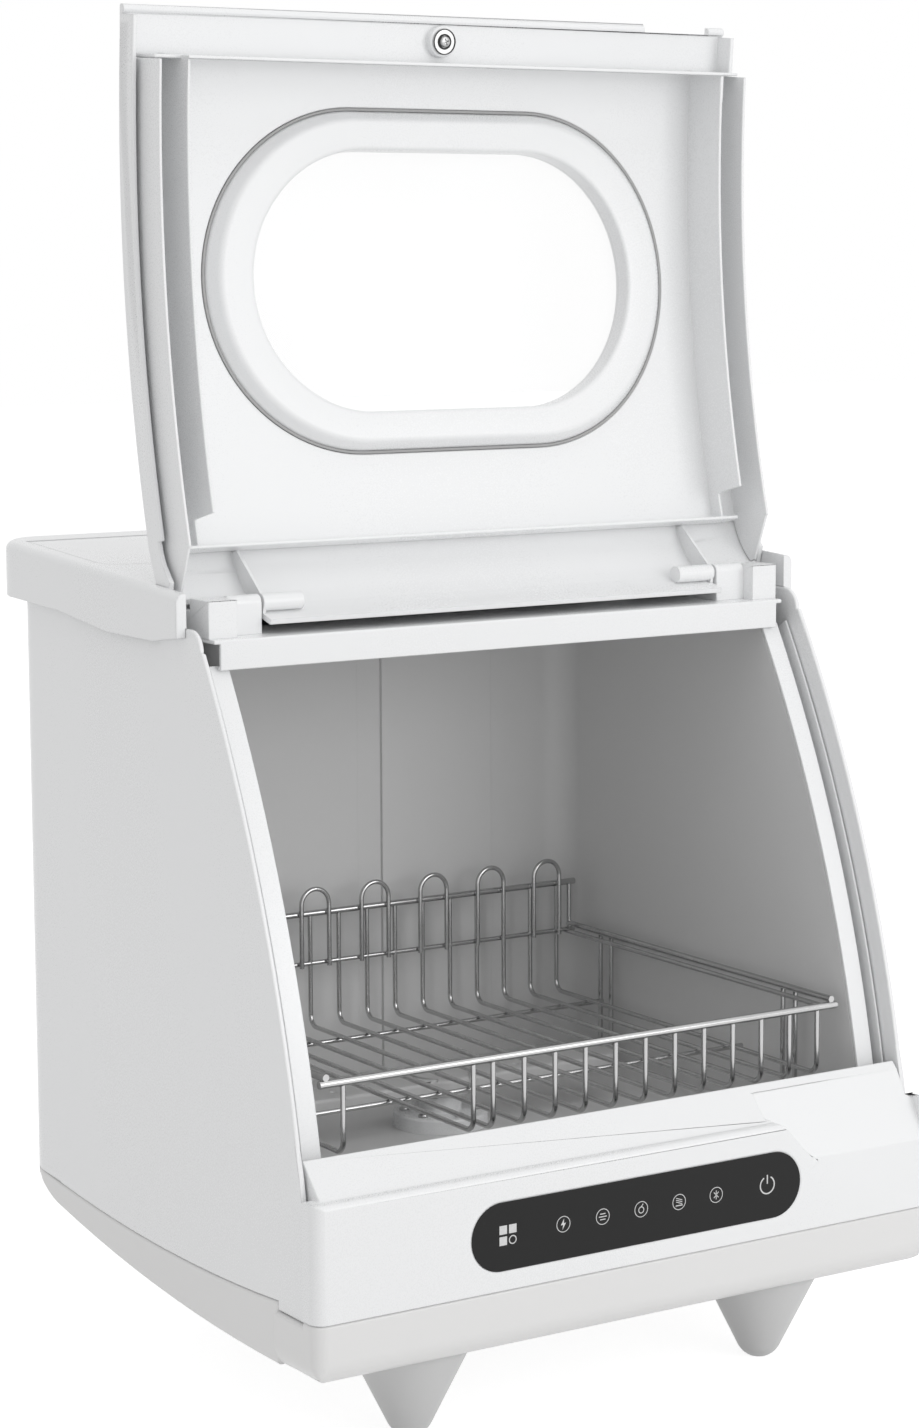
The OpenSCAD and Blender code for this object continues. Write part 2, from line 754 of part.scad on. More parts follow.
// The recess seen from the front, with its curved left end
module recess_front() {
    low = recess_z - 0.5;
    polygon(concat(
        [for (t = [0 : 1 / 12 : 1.001])
            [recess_x1 + recess_w * t, ledge_z + 1 - (ledge_z + 1 - low) * t * t * (3 - 2 * t)]],
        [[far, low], [far, far], [recess_x1, far]]
    ));
}
module recess_end() {
    n = [wall * sin(recess_a), -wall * cos(recess_a)];
    polygon([
        [0.5, recess_z], [0.5, ledge_z - 4], [4, ledge_z], [deck_y, ledge_z], [recess_y, recess_top],
        [recess_y, recess_top] + n, [0.5, recess_z] + n
    ]);
}
module front_fascia() {
    color(white) from_front() difference() {
        union() {
            difference() {
                union() {
                    difference() {
                        intersection() {
                            along_x(-far, far) face_section(0);
                            linear_extrude(far) front_plan(case_w / 2, 0, far, fascia_round);
                        }
                        intersection() {
                            along_x(-far, far) face_section(wall);
                            linear_extrude(far)
                                front_plan(case_w / 2 - wall, wall, far, fascia_round - wall);
                        }
                        box(-deck_half + wall, deck_half - wall, deck_y + 1.3, far,
                            ledge_z - wall - 1, far);
                    }
                    along_x(-deck_half, deck_half) deck_section();
                    both_sides() along_x(deck_half - wall, deck_half) deck_end();
                }
                intersection() {
                    along_x(recess_x1 - 1, recess_x2) recess_cut();
                    along_y(-9, far) recess_front();
                }
            }
            intersection() {
                along_y(-1, far) translate([-wall, -wall]) recess_front();
                union() {
                    along_x(recess_x1 - wall, deck_half) recess_wall();
                    intersection() {
                        along_x(recess_x1 - wall, recess_x1 + recess_w + 5) recess_end();
                        along_y(-1, far) difference() {
                            translate([-wall - 9, -wall - 9]) square(far);
                            recess_front();
                        }
                    }
                }
            }
            intersection() {
                union() {
                    along_x(deck_half - 1, recess_x2 + 1) recess_wall();
                    along_x(recess_x2, recess_x2 + 2) recess_end();
                }
                box(0, far, -1, far, 0, ledge_z - 0.5);
            }
            for (x = [-100, 100]) for (z = [-9, 9])
                rod_y(x, wall - 1, wall + 1.5, overlay_z + z, 6);
        }
        along_y(-1, overlay_t) translate([0, overlay_z]) stadium(overlay_l + 0.4, overlay_h + 0.4);
        along_y(-1, wall + 1) translate([0, overlay_z]) square([180, 14], center = true);
    }
}
module control_overlay() {
    color(black) from_front() along_y(0, overlay_t) translate([0, overlay_z])
        stadium(overlay_l, overlay_h);
}
module touch_board() {
    color("#2c5a3c") from_front() along_y(wall + 1.5 + seat, wall + 1.5 + seat + board_t)
        translate([0, overlay_z]) square([overlay_l - 9, overlay_h - 11], center = true);
}
// Moves to the deck's underside, with the deck's own slope
module under_deck(y, x) {
    translate([x, y, deck_at(y)]) rotate([deck_a, 0, 0]) translate([0, 0, -wall - seat]) children();
}
module catch_magnet() {
    color(steel) from_front() under_deck(deck_y + 9, catch_x) translate([0, 0, -5])
        cylinder(d = 12, h = 5);
}
module lid_reed_switch() {
    color(black) from_front() under_deck(deck_y + 9, catch_x - 24) translate([-9, -3, -4])
        cube([18, 6, 4]);
}

// The front rail closes the tub's mouth at the top and carries the hinge blocks
module front_rail() {
    t = 2.4;
    color(white) from_front() difference() {
        union() {
            box(-rail_half, rail_half, rail_y, rail_y + t, rail_top - 17, rail_top);
            box(-rail_half, rail_half, rail_y, rail_y + 3.7, rail_top - 17, rail_top - 17 + t);
            box(-block_x2, block_x2, rail_y, cap_front + 5.5, rail_top - t, rail_top);
        }
        both_sides() rod_z(hinge_screw_x, hinge_screw_y, rail_top - 9, rail_top + 9, 3.2);
    }
}
block_x1 = rib_x + 1.5;
post_x1 = block_x1 + 20.5;
block_x2 = post_x1 + 18;
hinge_screw_x = block_x2 - 8;
hinge_screw_y = pin_y + 20;
module hinge_block() {
    difference() {
        union() {
            along_x(block_x1, post_x1) {
                translate([pin_y, pin_z]) circle(d = barrel_d, $fn = 64);
                translate([pin_y - barrel_d / 2, rail_top]) square([barrel_d, pin_z - rail_top]);
                translate([pin_y - barrel_d / 2, rail_top]) square([30, 5]);
            }
            along_x(post_x1, block_x2) {
                intersection() {
                    translate([pin_y, pin_z]) circle(r = 14.4, $fn = 96);
                    translate([pin_y - 14, rail_top]) square([22, 21]);
                }
                translate([pin_y - 14, rail_top]) square([41, 14]);
            }
        }
        rod_x(block_x1 - 1, block_x1 + pin_l - 24, pin_y, pin_z, pin_d + 2 * run_gap);
        rod_z(hinge_screw_x, hinge_screw_y, rail_top - 1, rail_top + 30, 3.4);
        rod_z(hinge_screw_x, hinge_screw_y, rail_top + 8, rail_top + 30, 7.6);
    }
}
module left_hinge_block() {
    color(white) from_front() mirror([1, 0, 0]) hinge_block();
}
module right_hinge_block() {
    color(white) from_front() hinge_block();
}
module hinge_screws() {
    color(steel) from_front() both_sides() {
        rod_z(hinge_screw_x, hinge_screw_y, rail_top - 2.2, rail_top + 8.3, 3);
        rod_z(hinge_screw_x, hinge_screw_y, rail_top + 8.05, rail_top + 10.5, 6.6);
    }
}

// The tub's inside seen from the side, o out from its faces
module tub_section(o) {
    intersection() {
        translate([arc_y, arc_z]) circle(flange_r + (o > 0 ? 0 : 60), $fn = 360);
        translate([tub_front - 60, tub_sill - 20])
            square([tub_back + o - tub_front + 60, tub_roof + o - tub_sill + 20]);
    }
    translate([tub_front - o, tub_floor - o])
        square([tub_back + 2 * o - tub_front, tub_sill + (o > 0 ? 0 : 9) - tub_floor + o]);
}
// A strip that follows the lid's arc, between two radii and two angles
module band(r1, r2, a1, a2) {
    translate([arc_y, arc_z]) intersection() {
        difference() {
            circle(r1, $fn = 360);
            circle(r2, $fn = 360);
        }
        polygon([[0, 0], 2 * lid_r * [cos(a1), sin(a1)], 2 * lid_r * [cos(a2), sin(a2)]]);
    }
}
sill_a = 180.2 - asin((tub_sill - arc_z) / flange_r);
module tub_liner() {
    rib_half = tub_in - 58.5;
    color(mid_grey) from_front() difference() {
        union() {
            difference() {
                intersection() {
                    along_x(-tub_out, tub_out) tub_section(tub_t);
                    linear_extrude(far) plan(tub_out, 0, tub_back + tub_t, tub_corner + tub_t);
                }
                intersection() {
                    along_x(-tub_in, tub_in) tub_section(0);
                    linear_extrude(far) plan(tub_in, -60, tub_back, tub_corner);
                }
            }
            difference() {
                box(-rib_half, rib_half, tub_back - 2, tub_back + 0.5, tub_floor - 1, tub_roof + 1);
                box(24, 42, tub_back - 9, tub_back, tub_floor, tub_roof);
            }
        }
        both_sides() along_x(tub_in - 0.2, tub_out + 1)
            band(flange_r + 1, flange_r - tub_t - seat, ridge_a - 0.02, sill_a);
        rod_z(0, hub_y, tub_under - 9, tub_floor + 9, hub_pcd + 6);
        rod_z(filter_x, filter_y, tub_under - 9, tub_floor + 9, 2 * filter_r - 5);
        rod_z(fan_x, fan_y, tub_roof - 9, tub_roof + 9, 20);
    }
}

// The white strips beside the tub's mouth: the flange, and the groove for the outer skirts
module tub_frame() {
    color(white) from_front() both_sides() {
        along_x(tub_in, groove_in) band(flange_r, flange_r - tub_t, ridge_a, sill_a);
        along_x(groove_in - tub_t, groove_in) band(flange_r, groove_r, ridge_a, sill_a);
        along_x(groove_in - tub_t, groove_out) band(groove_r + tub_t, groove_r, ridge_a, sill_a);
        along_x(groove_out - lip_t, groove_out) band(lip_r, groove_r, ridge_a, sill_a);
    }
}

hub_top = tub_floor + hub_h;
module hub_screw_places() {
    for (a = [30 : 60 : 330]) translate([0, hub_y, 0]) rotate([0, 0, a])
        translate([hub_pcd / 2, 0, 0]) children();
}
feed_z = wash_z + 11;
feed_d = 12;
module spray_hub() {
    color(white) from_front() difference() {
        union() {
            rod_z(0, hub_y, tub_floor, hub_top, hub_d);
            rod_z(0, hub_y, tub_floor - 32, hub_top + column_h, column_d);
        }
        rod_z(0, hub_y, hub_top - 5, hub_top + column_h + 1, spigot_d + 2 * run_gap);
        rod_z(0, hub_y, tub_floor - 40, hub_top, spigot_d - 3);
        rod_x(2, column_d, hub_y, feed_z, feed_d - 2 * thin);
        hub_screw_places() rod_z(0, 0, tub_floor - 1, hub_top + 1, 3.2);
    }
}
module hub_screws() {
    color(steel) from_front() hub_screw_places() {
        rod_z(0, 0, hub_top + 0.05, hub_top + 2.2, 6);
        rod_z(0, 0, tub_floor + 1, hub_top + 0.1, 3);
    }
}
module spray_arm() {
    color(light_grey) from_front() difference() {
        union() {
            translate([0, hub_y, arm_z + 2]) linear_extrude(8) stadium(arm_l, arm_w);
            rod_z(0, hub_y, arm_z, arm_z + 11, 38);
            rod_z(0, hub_y, hub_top - 4, arm_z + 1, spigot_d);
        }
        rod_z(0, hub_y, hub_top - 9, arm_z + 6, spigot_d - 4);
        for (x = [-110, -75, -40, 55, 90]) rod_z(x, hub_y, arm_z, arm_z + 20, 3);
    }
}

// Pipe between two points at one height, as a plain round bar
module bar_between(p, q, z, d) {
    translate([p.x, p.y, z]) rotate([0, 0, atan2(q.y - p.y, q.x - p.x)]) rotate([0, 90, 0])
        cylinder(d = d, h = norm(q - p));
}
well_z = sump_z + 3;
suction_d = 16;
tank_spigot_y = hub_y;
tank_spigot_z = 97;
module sump_pipes(out) {
    d = out ? 0 : -2 * thin;
    rod_x(sump_r - 6, pump_x - seat + (out ? 0 : 1), wash_y, wash_z, suction_d + d);
    rod_x(tank_x2 + seat - (out ? 0 : 1), 6 - sump_r, tank_spigot_y, tank_spigot_z, 14 + d);
    rod_y(30, hub_y + sump_r - 12, drain_y + (out ? 0 : 4), drain_z, 14 + d);
    rod_x(out ? 30 : 26, pump_x - seat + (out ? 0 : 1), drain_y, drain_z, 14 + d);
    if (out) translate([30, drain_y, drain_z]) sphere(d = 14);
    bar_between([filter_x - 15, filter_y + 15], [25, hub_y - 35], sump_z + 12, suction_d + d);
}
module sump() {
    color(light_grey) from_front() difference() {
        union() {
            rod_z(0, hub_y, sump_z, tub_under - seat, 2 * sump_r);
            rod_z(filter_x, filter_y, well_z, tub_under - seat, 2 * filter_r);
            sump_pipes(true);
        }
        sump_pipes(false);
        rod_z(0, hub_y, sump_z + 2.5, far, 2 * sump_r - 5);
        rod_z(filter_x, filter_y, well_z + 2, far, 2 * filter_r - 4);
        rod_x(sump_r - 9, sump_r + 9, hub_y, feed_z, feed_d + 0.6);
        for (y = [-6, 6]) rod_x(-sump_r - 9, 0, hub_y + 14 + y, sump_z + 6.3, 5);
    }
}
module heater_ring() {
    z = sump_z + 6.3;
    color(steel) from_front() {
        translate([0, hub_y, z]) rotate_extrude() translate([sump_r - 17, 0]) circle(d = 7);
        for (y = [-6, 6]) rod_x(-sump_r - 4, 22 - sump_r, hub_y + 14 + y, z, 4.4);
    }
}
module filter() {
    top = tub_floor + seat;
    color(light_grey) from_front() translate([filter_x, filter_y, 0]) difference() {
        union() {
            rod_z(0, 0, top, top + 2, 2 * filter_r);
            rod_z(0, 0, well_z + 4, top + 1, 2 * filter_r - 6);
            box(-18, 18, -2, 2, top, top + 8);
        }
        difference() {
            rod_z(0, 0, well_z + 5.5, top + 2.1, 2 * filter_r - 9);
            box(-30, 30, -2, 2, top, top + 9);
        }
        for (a = [0 : 45 : 315]) rotate([0, 0, a + 22.5])
            box(filter_r - 9, filter_r, -3, 3, well_z + 9, top - 5);
    }
}
// A pump's housing round the axis x = 0, from its front face at x = 0
module pump_housing(r, l, shaft, inlet) {
    difference() {
        rod_x(0, l, 0, 0, 2 * r);
        rod_x(thin, l - thin, 0, 0, 2 * r - 2 * thin - 1);
        rod_x(-1, thin + 1, 0, 0, inlet);
        rod_x(l - thin - 1, l + 1, 0, 0, shaft + 2 * run_gap);
    }
}
module wash_pump_housing() {
    color(light_grey) from_front() difference() {
        translate([pump_x, wash_y, wash_z]) pump_housing(wash_r, 22, wash_shaft, 12);
        rod_x(pump_x - 1, pump_x + thin + 1, hub_y, feed_z, feed_d - 2 * thin);
    }
}
wash_motor_x = pump_x + 22 + seat;
module wash_pump_motor() {
    color(mid_grey) from_front() difference() {
        union() {
            rod_x(wash_motor_x, wash_motor_x + 52, wash_y, wash_z, 2 * wash_r - 5);
            rod_x(wash_motor_x + 51, wash_motor_x + 58, wash_y, wash_z, 16);
        }
        rod_x(wash_motor_x - 1, wash_motor_x + 54, wash_y, wash_z, wash_shaft + 2 * run_gap);
    }
}
// An impeller on its shaft, from the front of its disc at x = 0
module impeller(r, w, shaft, l) {
    rod_x(0, l, 0, 0, shaft);
    rod_x(w - 2, w, 0, 0, 2 * r);
    rod_x(0, w, 0, 0, shaft + 5);
    for (a = [0 : 60 : 300]) rotate([a, 0, 0]) box(0, w - 1, 0, r, -0.8, 0.8);
}
module wash_impeller() {
    color(steel) from_front() translate([pump_x + 5, wash_y, wash_z])
        impeller(wash_r - 5, 12, wash_shaft, 68);
}
module feed_pipe() {
    color(light_grey) from_front() difference() {
        rod_x(column_d / 2 + seat, pump_x - seat, hub_y, feed_z, feed_d);
        rod_x(0, pump_x + 9, hub_y, feed_z, feed_d - 2 * thin);
    }
}
module drain_pump_housing() {
    color(light_grey) from_front() difference() {
        translate([pump_x, drain_y, drain_z]) pump_housing(drain_r, 16, small_shaft, 10);
        rod_y(port_x, drain_y, drain_y + drain_r + 2, drain_z, 9);
    }
}
drain_motor_x = pump_x + 16 + seat;
module drain_pump_motor() {
    color(mid_grey) from_front() difference() {
        rod_x(drain_motor_x, drain_motor_x + 44, drain_y, drain_z, 2 * drain_r - 6);
        rod_x(drain_motor_x - 1, drain_motor_x + 40, drain_y, drain_z, small_shaft + 2 * run_gap);
    }
}
module drain_impeller() {
    color(steel) from_front() translate([pump_x + 4, drain_y, drain_z])
        impeller(drain_r - 4.5, 8, small_shaft, 46);
}
module drain_hose() {
    color(black) from_front() difference() {
        rod_y(port_x, drain_y + drain_r + seat, case_d - 16 - seat, drain_z, 14);
        rod_y(port_x, drain_y, case_d, drain_z, 10);
    }
}
module drain_port() {
    color(light_grey) from_front() difference() {
        union() {
            rod_y(port_x, case_d - 16, total_d - 1, drain_z, port_d);
            rod_y(port_x, case_d + 0.05, case_d + 3, drain_z, port_d + 10);
        }
        rod_y(port_x, case_d - 30, total_d + 9, drain_z, port_d - 2 * thin);
    }
}

float_x = (tank_x2 - panel_in) / 2;
float_y = 190;
module water_tank() {
    x1 = 1 - panel_in;
    color("#c9d4da") from_front() {
        difference() {
            box(x1, tank_x2, tank_y1, tank_y2, tank_z1, tank_z2);
            box(x1 + thin, tank_x2 - thin, tank_y1 + thin, tank_y2 - thin, tank_z1 + thin,
                tank_z2 - thin);
            rod_x(tank_x2 - 9, tank_x2 + 9, tank_spigot_y, tank_spigot_z, 10);
            rod_z(fill_x, fill_y, tank_z2 - 9, tank_z2 + 9, fill_d - 2 * thin);
        }
        rod_z(float_x, float_y, tank_z1 + 1, tank_z2 - 1, stem_d);
    }
}
module tank_float() {
    z = tank_z1 + thin + seat;
    color("#d9d4c4") from_front() difference() {
        rod_z(float_x, float_y, z, z + float_h, float_d);
        rod_z(float_x, float_y, z - 1, z + float_h + 1, stem_d + 2 * run_gap);
    }
}
module fill_hose() {
    color(light_grey) from_front() difference() {
        rod_z(fill_x, fill_y, tank_z2 + seat, funnel_z - seat, fill_d);
        rod_z(fill_x, fill_y, tank_z2, funnel_z, fill_d - 2 * thin);
    }
}
funnel_z = panel_top + 6;
funnel_top = cap_at(cover_y + 4) - 2 * wall - seat;
module fill_funnel() {
    half = groove_out - 1.5;
    y1 = cover_y + 1;
    y2 = cover_pin_y - 7;
    color(light_grey) from_front() difference() {
        union() {
            box(-half, half, y1, y2, funnel_z, funnel_top);
            rod_z(fill_x, fill_y, funnel_z - 10, funnel_z + 1, fill_d - 2 * thin - 0.4);
            for (x = [-120, 0, 150]) box(x, x + 4, y1, y2, tub_roof + tub_t + seat, funnel_z + 1);
        }
        box(thin - half, half - thin, y1 + thin, y2 - thin, funnel_z + thin, far);
        rod_z(fill_x, fill_y, funnel_z - 20, far, fill_d - 2 * thin - 3);
    }
}

fan_z = tub_roof + tub_t + seat;
duct_w = 24;
module fan_housing() {
    color(mid_grey) from_front() difference() {
        union() {
            rod_z(fan_x, fan_y, fan_z, fan_z + fan_h, 2 * fan_r);
            box(fan_x - duct_w / 2, fan_x + duct_w / 2, fan_y, fan_y + fan_r + 1, fan_z, fan_z + 12);
        }
        rod_z(fan_x, fan_y, fan_z + thin, fan_z + fan_h - thin - 2, 2 * fan_r - 2 * thin);
        rod_z(fan_x, fan_y, fan_z - 1, fan_z + thin + 1, 20);
        rod_z(fan_x, fan_y, fan_z, fan_z + fan_h + 1, small_shaft + 2 * run_gap);
        box(fan_x - duct_w / 2 + thin, fan_x + duct_w / 2 - thin, fan_y, fan_y + fan_r + 9,
            fan_z + thin, fan_z + 12 - thin);
    }
}
module fan_impeller() {
    color(steel) from_front() translate([fan_x, fan_y, fan_z + thin + 2]) rotate([0, -90, 0])
        impeller(fan_r - 5, 11, small_shaft, fan_h - thin - 3);
}
module air_duct() {
    y1 = fan_y + fan_r + 1 + seat;
    y2 = case_d - wall - seat;
    y3 = tub_back + tub_t + 0.6;
    y4 = shelf_y - 2 * seat;
    color(mid_grey) from_front() difference() {
        union() {
            box(fan_x - duct_w / 2, fan_x + duct_w / 2, y1, y4, fan_z, fan_z + 12);
            box(fan_x - duct_w / 2, fan_x + duct_w / 2, y3, y2, grille_z - 17, fan_z + 7);
        }
        box(fan_x - duct_w / 2 + thin, fan_x + duct_w / 2 - thin, y1 - 1, y4 - 1.5, fan_z + thin,
            fan_z + 12 - thin);
        box(fan_x - duct_w / 2 + thin, fan_x + duct_w / 2 - thin, y3 + 1.5, y2 - 1.5,
            grille_z - 15, fan_z + 5);
        box(fan_x - duct_w / 2 + thin, fan_x + duct_w / 2 - thin, y2 - 5, y2 + 1, grille_z - 15,
            fan_z - 8);
    }
}

board_y1 = case_d - 161;
board_y2 = case_d - 41;
board_z1 = 160;
board_z2 = 300;
module board_box() {
    x2 = panel_in - seat;
    x1 = x2 - 14;
    color(mid_grey) from_front() {
        difference() {
            box(x1, x2, board_y1, board_y2, board_z1, board_z2);
            box(x1 + 1.5, x2 - 1.5, board_y1 + 1.5, board_y2 - 1.5, board_z1 + 1.5, board_z2 - 1.5);
        }
        for (y = [board_y1 + 14, board_y2 - 14]) for (z = [board_z1 + 14, board_z2 - 14])
            rod_x(x2 - 6, x2 - 1, y, z, 6);
    }
}
module main_board() {
    x = panel_in - 2 * seat - 6 - board_t;
    color("#2c5a3c") from_front()
        box(x, x + board_t, board_y1 + 6, board_y2 - 6, board_z1 + 6, board_z2 - 6);
}

// Depth at which the cap's inner shelf ends in front of the rear panel
shelf_y = case_d - 6;
// The cap's side outline, i down from its top
module cap_section(i) {
    low = [
        [cap_y0, panel_top - 5], [cap_y0 + 30, panel_top - 9], [cap_y0 + 86, panel_top - 9],
        [case_d - 74, panel_top - 2.3], [case_d - 3, panel_top + 0.6], [total_d, panel_top + 0.6]
    ];
    polygon(concat(
        i > 0 ? [[cap_y0, 0], [total_d, 0]] : low,
        [[total_d, cap_at(total_d) - i], [cap_y0, cap_at(cap_y0) - i]]
    ));
}
// Slab under the cap's top between two depths below it
module under_cap(x1, x2, y1, y2, d1, d2) {
    along_x(x1, x2) polygon([
        [y1, cap_at(y1) - d2], [y2, cap_at(y2) - d2], [y2, cap_at(y2) - d1], [y1, cap_at(y1) - d1]
    ]);
}
module top_cap() {
    hole_half = cover_half - 4;
    edge = cover_half + 0.6;
    color(white) from_front() difference() {
        union() {
            difference() {
                intersection() {
                    linear_extrude(far) plan(cap_out, cap_front, total_d, cap_corner);
                    along_x(-far, far) cap_section(0);
                }
                intersection() {
                    linear_extrude(far)
                        plan(cap_out - wall, cap_front + wall, total_d - wall, cap_corner - wall);
                    along_x(-far, far) cap_section(wall);
                }
            }
            both_sides() along_x(cap_out - horn_w, cap_out) intersection() {
                cap_section(0);
                translate([cap_y0, 0]) square([cap_front + 1 - cap_y0, far]);
            }
            intersection() {
                difference() {
                    linear_extrude(far) plan(cap_out - 1, cap_front + 1, total_d - 1, cap_corner - 1);
                    linear_extrude(far) plan(panel_in - 1, 0, shelf_y, corner_r - 4);
                }
                box(-far, far, cap_front + 1, far, panel_top + seat, panel_top + seat + wall);
            }
            under_cap(-edge - 3, edge + 3, cover_y - 4, cover_pin_y - 3, wall - 0.5, 2 * wall);
            both_sides() under_cap(edge, edge + 8.5, cover_pin_y - 6, cover_pin_y + 6, 1, 9);
        }
        box(-panel_out - seat, panel_out + seat, 0, cap_front + wall + 20, 0, rail_top + 0.6);
        both_sides() box(0, panel_out + seat, 0, total_d, 0, panel_top + seat);
        intersection() {
            under_cap(-edge, edge, cover_y - 0.6, cover_pin_y + 4, -9, wall + seat);
            linear_extrude(far) cover_plan(0.6, 4);
        }
        box(-hole_half, hole_half, cover_y + 4, cover_pin_y - 6, 0, far);
        box(-edge, edge, cover_pin_y - 5, cover_pin_y + 4, 0, far);
        both_sides() rod_x(edge - 1, edge + 7, cover_pin_y, cover_pin_z, cover_pin_d + 2 * run_gap);
    }
}
// Plan of the fill cover with its two rounded front corners, grown by g, to e behind the axis
module cover_plan(g, e) {
    front_plan(cover_half + g, cover_y - g, cover_pin_y + e, cover_corner + g);
}
module fill_cover() {
    color(white) from_front() difference() {
        union() {
            intersection() {
                under_cap(-cover_half, cover_half, cover_y, cover_pin_y, 0, wall);
                linear_extrude(far) cover_plan(0, 9);
            }
            rod_x(-cover_half, cover_half, cover_pin_y, cover_pin_z, 2 * wall);
            both_sides() under_cap(cover_half - 10, cover_half - 8, cover_y + 16, cover_pin_y - 14,
                1, wall + 5);
        }
        both_sides() rod_x(cover_half - 10, cover_half + 1, cover_pin_y, cover_pin_z, cover_pin_d);
    }
}
module fill_cover_pins() {
    color(steel) from_front() both_sides()
        rod_x(cover_half - 10, cover_half + 7, cover_pin_y, cover_pin_z, cover_pin_d);
}

// Swings what is drawn closed into the open pose
module lid_opened() {
    translate([0, pin_y, pin_z]) rotate([-lid_travel, 0, 0]) translate([0, -pin_y, -pin_z])
        children();
}
// Places children on the lid's arc at an angle, with Z outward
module on_lid(a) {
    translate([0, arc_y, arc_z]) rotate([a - 90, 0, 0]) children();
}
// The ring round the fillet's centre that carries the skin on to the flat top
module fillet_band(r1, r2) {
    translate([fil_y, fil_z]) intersection() {
        difference() {
            circle(r1, $fn = 180);
            circle(r2, $fn = 180);
        }
        polygon([[0, 0], [0, 4 * r1], 4 * r1 * [cos(fil_a), sin(fil_a)]]);
    }
}
module lid_side_section() {
    band(lid_r, lid_r - lid_side_d, fil_a, tip_a - 0.36);
    intersection() {
        fillet_band(lid_fillet, lid_fillet - lid_side_d + 3.5);
        square([lid_end_y, far]);
    }
}
// The rib that ties a hinge barrel to the skin
module rib_section() {
    polygon([
        on_arc(lid_r - 1, ridge_a - 0.1), on_arc(lid_r - 9, ridge_a - 0.1),
        [pin_y - 1, pin_z - barrel_d / 2],
        [pin_y + 4, pin_z - 2], [pin_y + 5, lid_top - 1], [fil_y, lid_top - 1],
        on_fillet(lid_fillet - 1, 105), on_fillet(lid_fillet - 1, 120),
        on_fillet(lid_fillet - 1, 135)
    ]);
}
bead_r = 2.4;
scoop_w = 47.6;
scoop_x = lid_half - 11.7 - scoop_w;
scoop_d = 4;
module lid_shell() {
    color(white) from_front() lid_opened() difference() {
        union() {
            along_x(-lid_half, lid_half) {
                band(lid_r, lid_r - lid_t, fil_a - 0.01, tip_a);
                intersection() {
                    fillet_band(lid_fillet, lid_fillet - lid_t);
                    square([lid_end_y, far]);
                }
            }
            along_x(-rib_x, rib_x) {
                fillet_band(lid_fillet, lid_fillet - lid_t);
                translate([fil_y - 0.5, lid_top - lid_t]) square([tail_y - fil_y + 0.5, lid_t]);
            }
            both_sides() along_x(lid_in, lid_half) lid_side_section();
            both_sides() along_x(rib_x - skirt_t, rib_x) rib_section();
            both_sides() rod_x(rib_x - 26, rib_x, pin_y, pin_z, barrel_d);
            on_lid(tip_a) translate([-lid_half, bead_r + 0.1, lid_r - bead_r - 0.1])
                rotate([0, 90, 0]) cylinder(r = bead_r, h = 2 * lid_half);
            on_lid(catch_a) translate([catch_x, 0, lid_r - 8]) cylinder(d = 18, h = 7);
        }
        on_lid(window_a) translate([0, 0, lid_r - 40]) linear_extrude(80)
            stadium(ring_l - 30, ring_h - 30);
        both_sides() rod_x(rib_x - 25, rib_x + 1, pin_y, pin_z, pin_d);
        on_lid(catch_a) translate([catch_x, 0, lid_r - 20]) cylinder(d = 3, h = 18);
        on_lid(tip_a) translate([scoop_x, scoop_d - 30, lid_r - 20]) cube([scoop_w, 30, 40]);
    }
}
module pins() {
    rod_x(rib_x - 25, rib_x - 25 + pin_l, pin_y, pin_z, pin_d);
}
module left_hinge_pin() {
    color(steel) from_front() mirror([1, 0, 0]) pins();
}
module right_hinge_pin() {
    color(steel) from_front() pins();
}
nose_d = lid_proud + flange_set - 1.5;
module lid_liner() {
    color(white) from_front() lid_opened() difference() {
        union() {
            along_x(-skirt_a, skirt_a) band(liner_r, liner_in, ridge_a, nose_a);
            both_sides() along_x(skirt_a - skirt_t, skirt_a) {
                band(liner_r - 0.6, lid_r - skirt_d, skirt_a_top, nose_a - 0.1);
                polygon(concat(
                    [on_arc(lid_r - skirt_d + 0.1, skirt_a_top + 0.1), [pin_y - 12.2, pin_z - 1.4]],
                    [for (a = [112 : 9 : 148]) on_fillet(lid_fillet - lid_t - seat, a)],
                    [on_arc(liner_r - 4, skirt_a_top + 0.8)]
                ));
            }
            both_sides() along_x(skirt_b - skirt_t, skirt_b) {
                band(liner_r - 0.6, lid_r - skirt_d, skirt_b_top, nose_a + 0.05);
                band(liner_r - 0.9, lid_r - 15, ridge_a + 0.05, skirt_b_top + 0.1);
            }
            on_lid(nose_a) translate([-skirt_b, -skirt_t / 2, lid_r - 38.4])
                cube([2 * skirt_b, skirt_t, 38.4 - lid_t - seat - 0.8]);
            both_sides() on_lid(nose_a) translate([skirt_b - 1, -skirt_t / 2, lid_r - nose_d])
                cube([skirt_a - skirt_b, skirt_t, nose_d - lid_t - seat - 0.8]);
            on_lid(ridge_a) translate([-rail_half + 1, -skirt_t / 2, lid_r - 19.2])
                cube([2 * rail_half - 2, skirt_t, 19.2 - lid_t - seat - 0.8]);
        }
        on_lid(window_a) translate([0, 0, lid_r - 40]) linear_extrude(80)
            stadium(ring_l + 4, ring_h + 4);
    }
}
module curved_ring(r1, r2, l1, h1, l2, h2) {
    intersection() {
        along_x(-far / 2, far / 2) band(r1, r2, fil_a, tip_a);
        on_lid(window_a) translate([0, 0, lid_r - 40]) linear_extrude(80) difference() {
            stadium(l1, h1);
            if (l2 > 0) stadium(l2, h2);
        }
    }
}
module window_ring() {
    color(white) from_front() lid_opened()
        curved_ring(liner_r, liner_in - ring_raise, ring_l, ring_h, ring_l - 2 * ring_w,
            ring_h - 2 * ring_w + 11);
}
module window_seal() {
    color(black) from_front() lid_opened()
        curved_ring(liner_r, liner_in - 0.4, ring_l + 3.6, ring_h + 3.6, ring_l + 0.4, ring_h + 0.4);
}
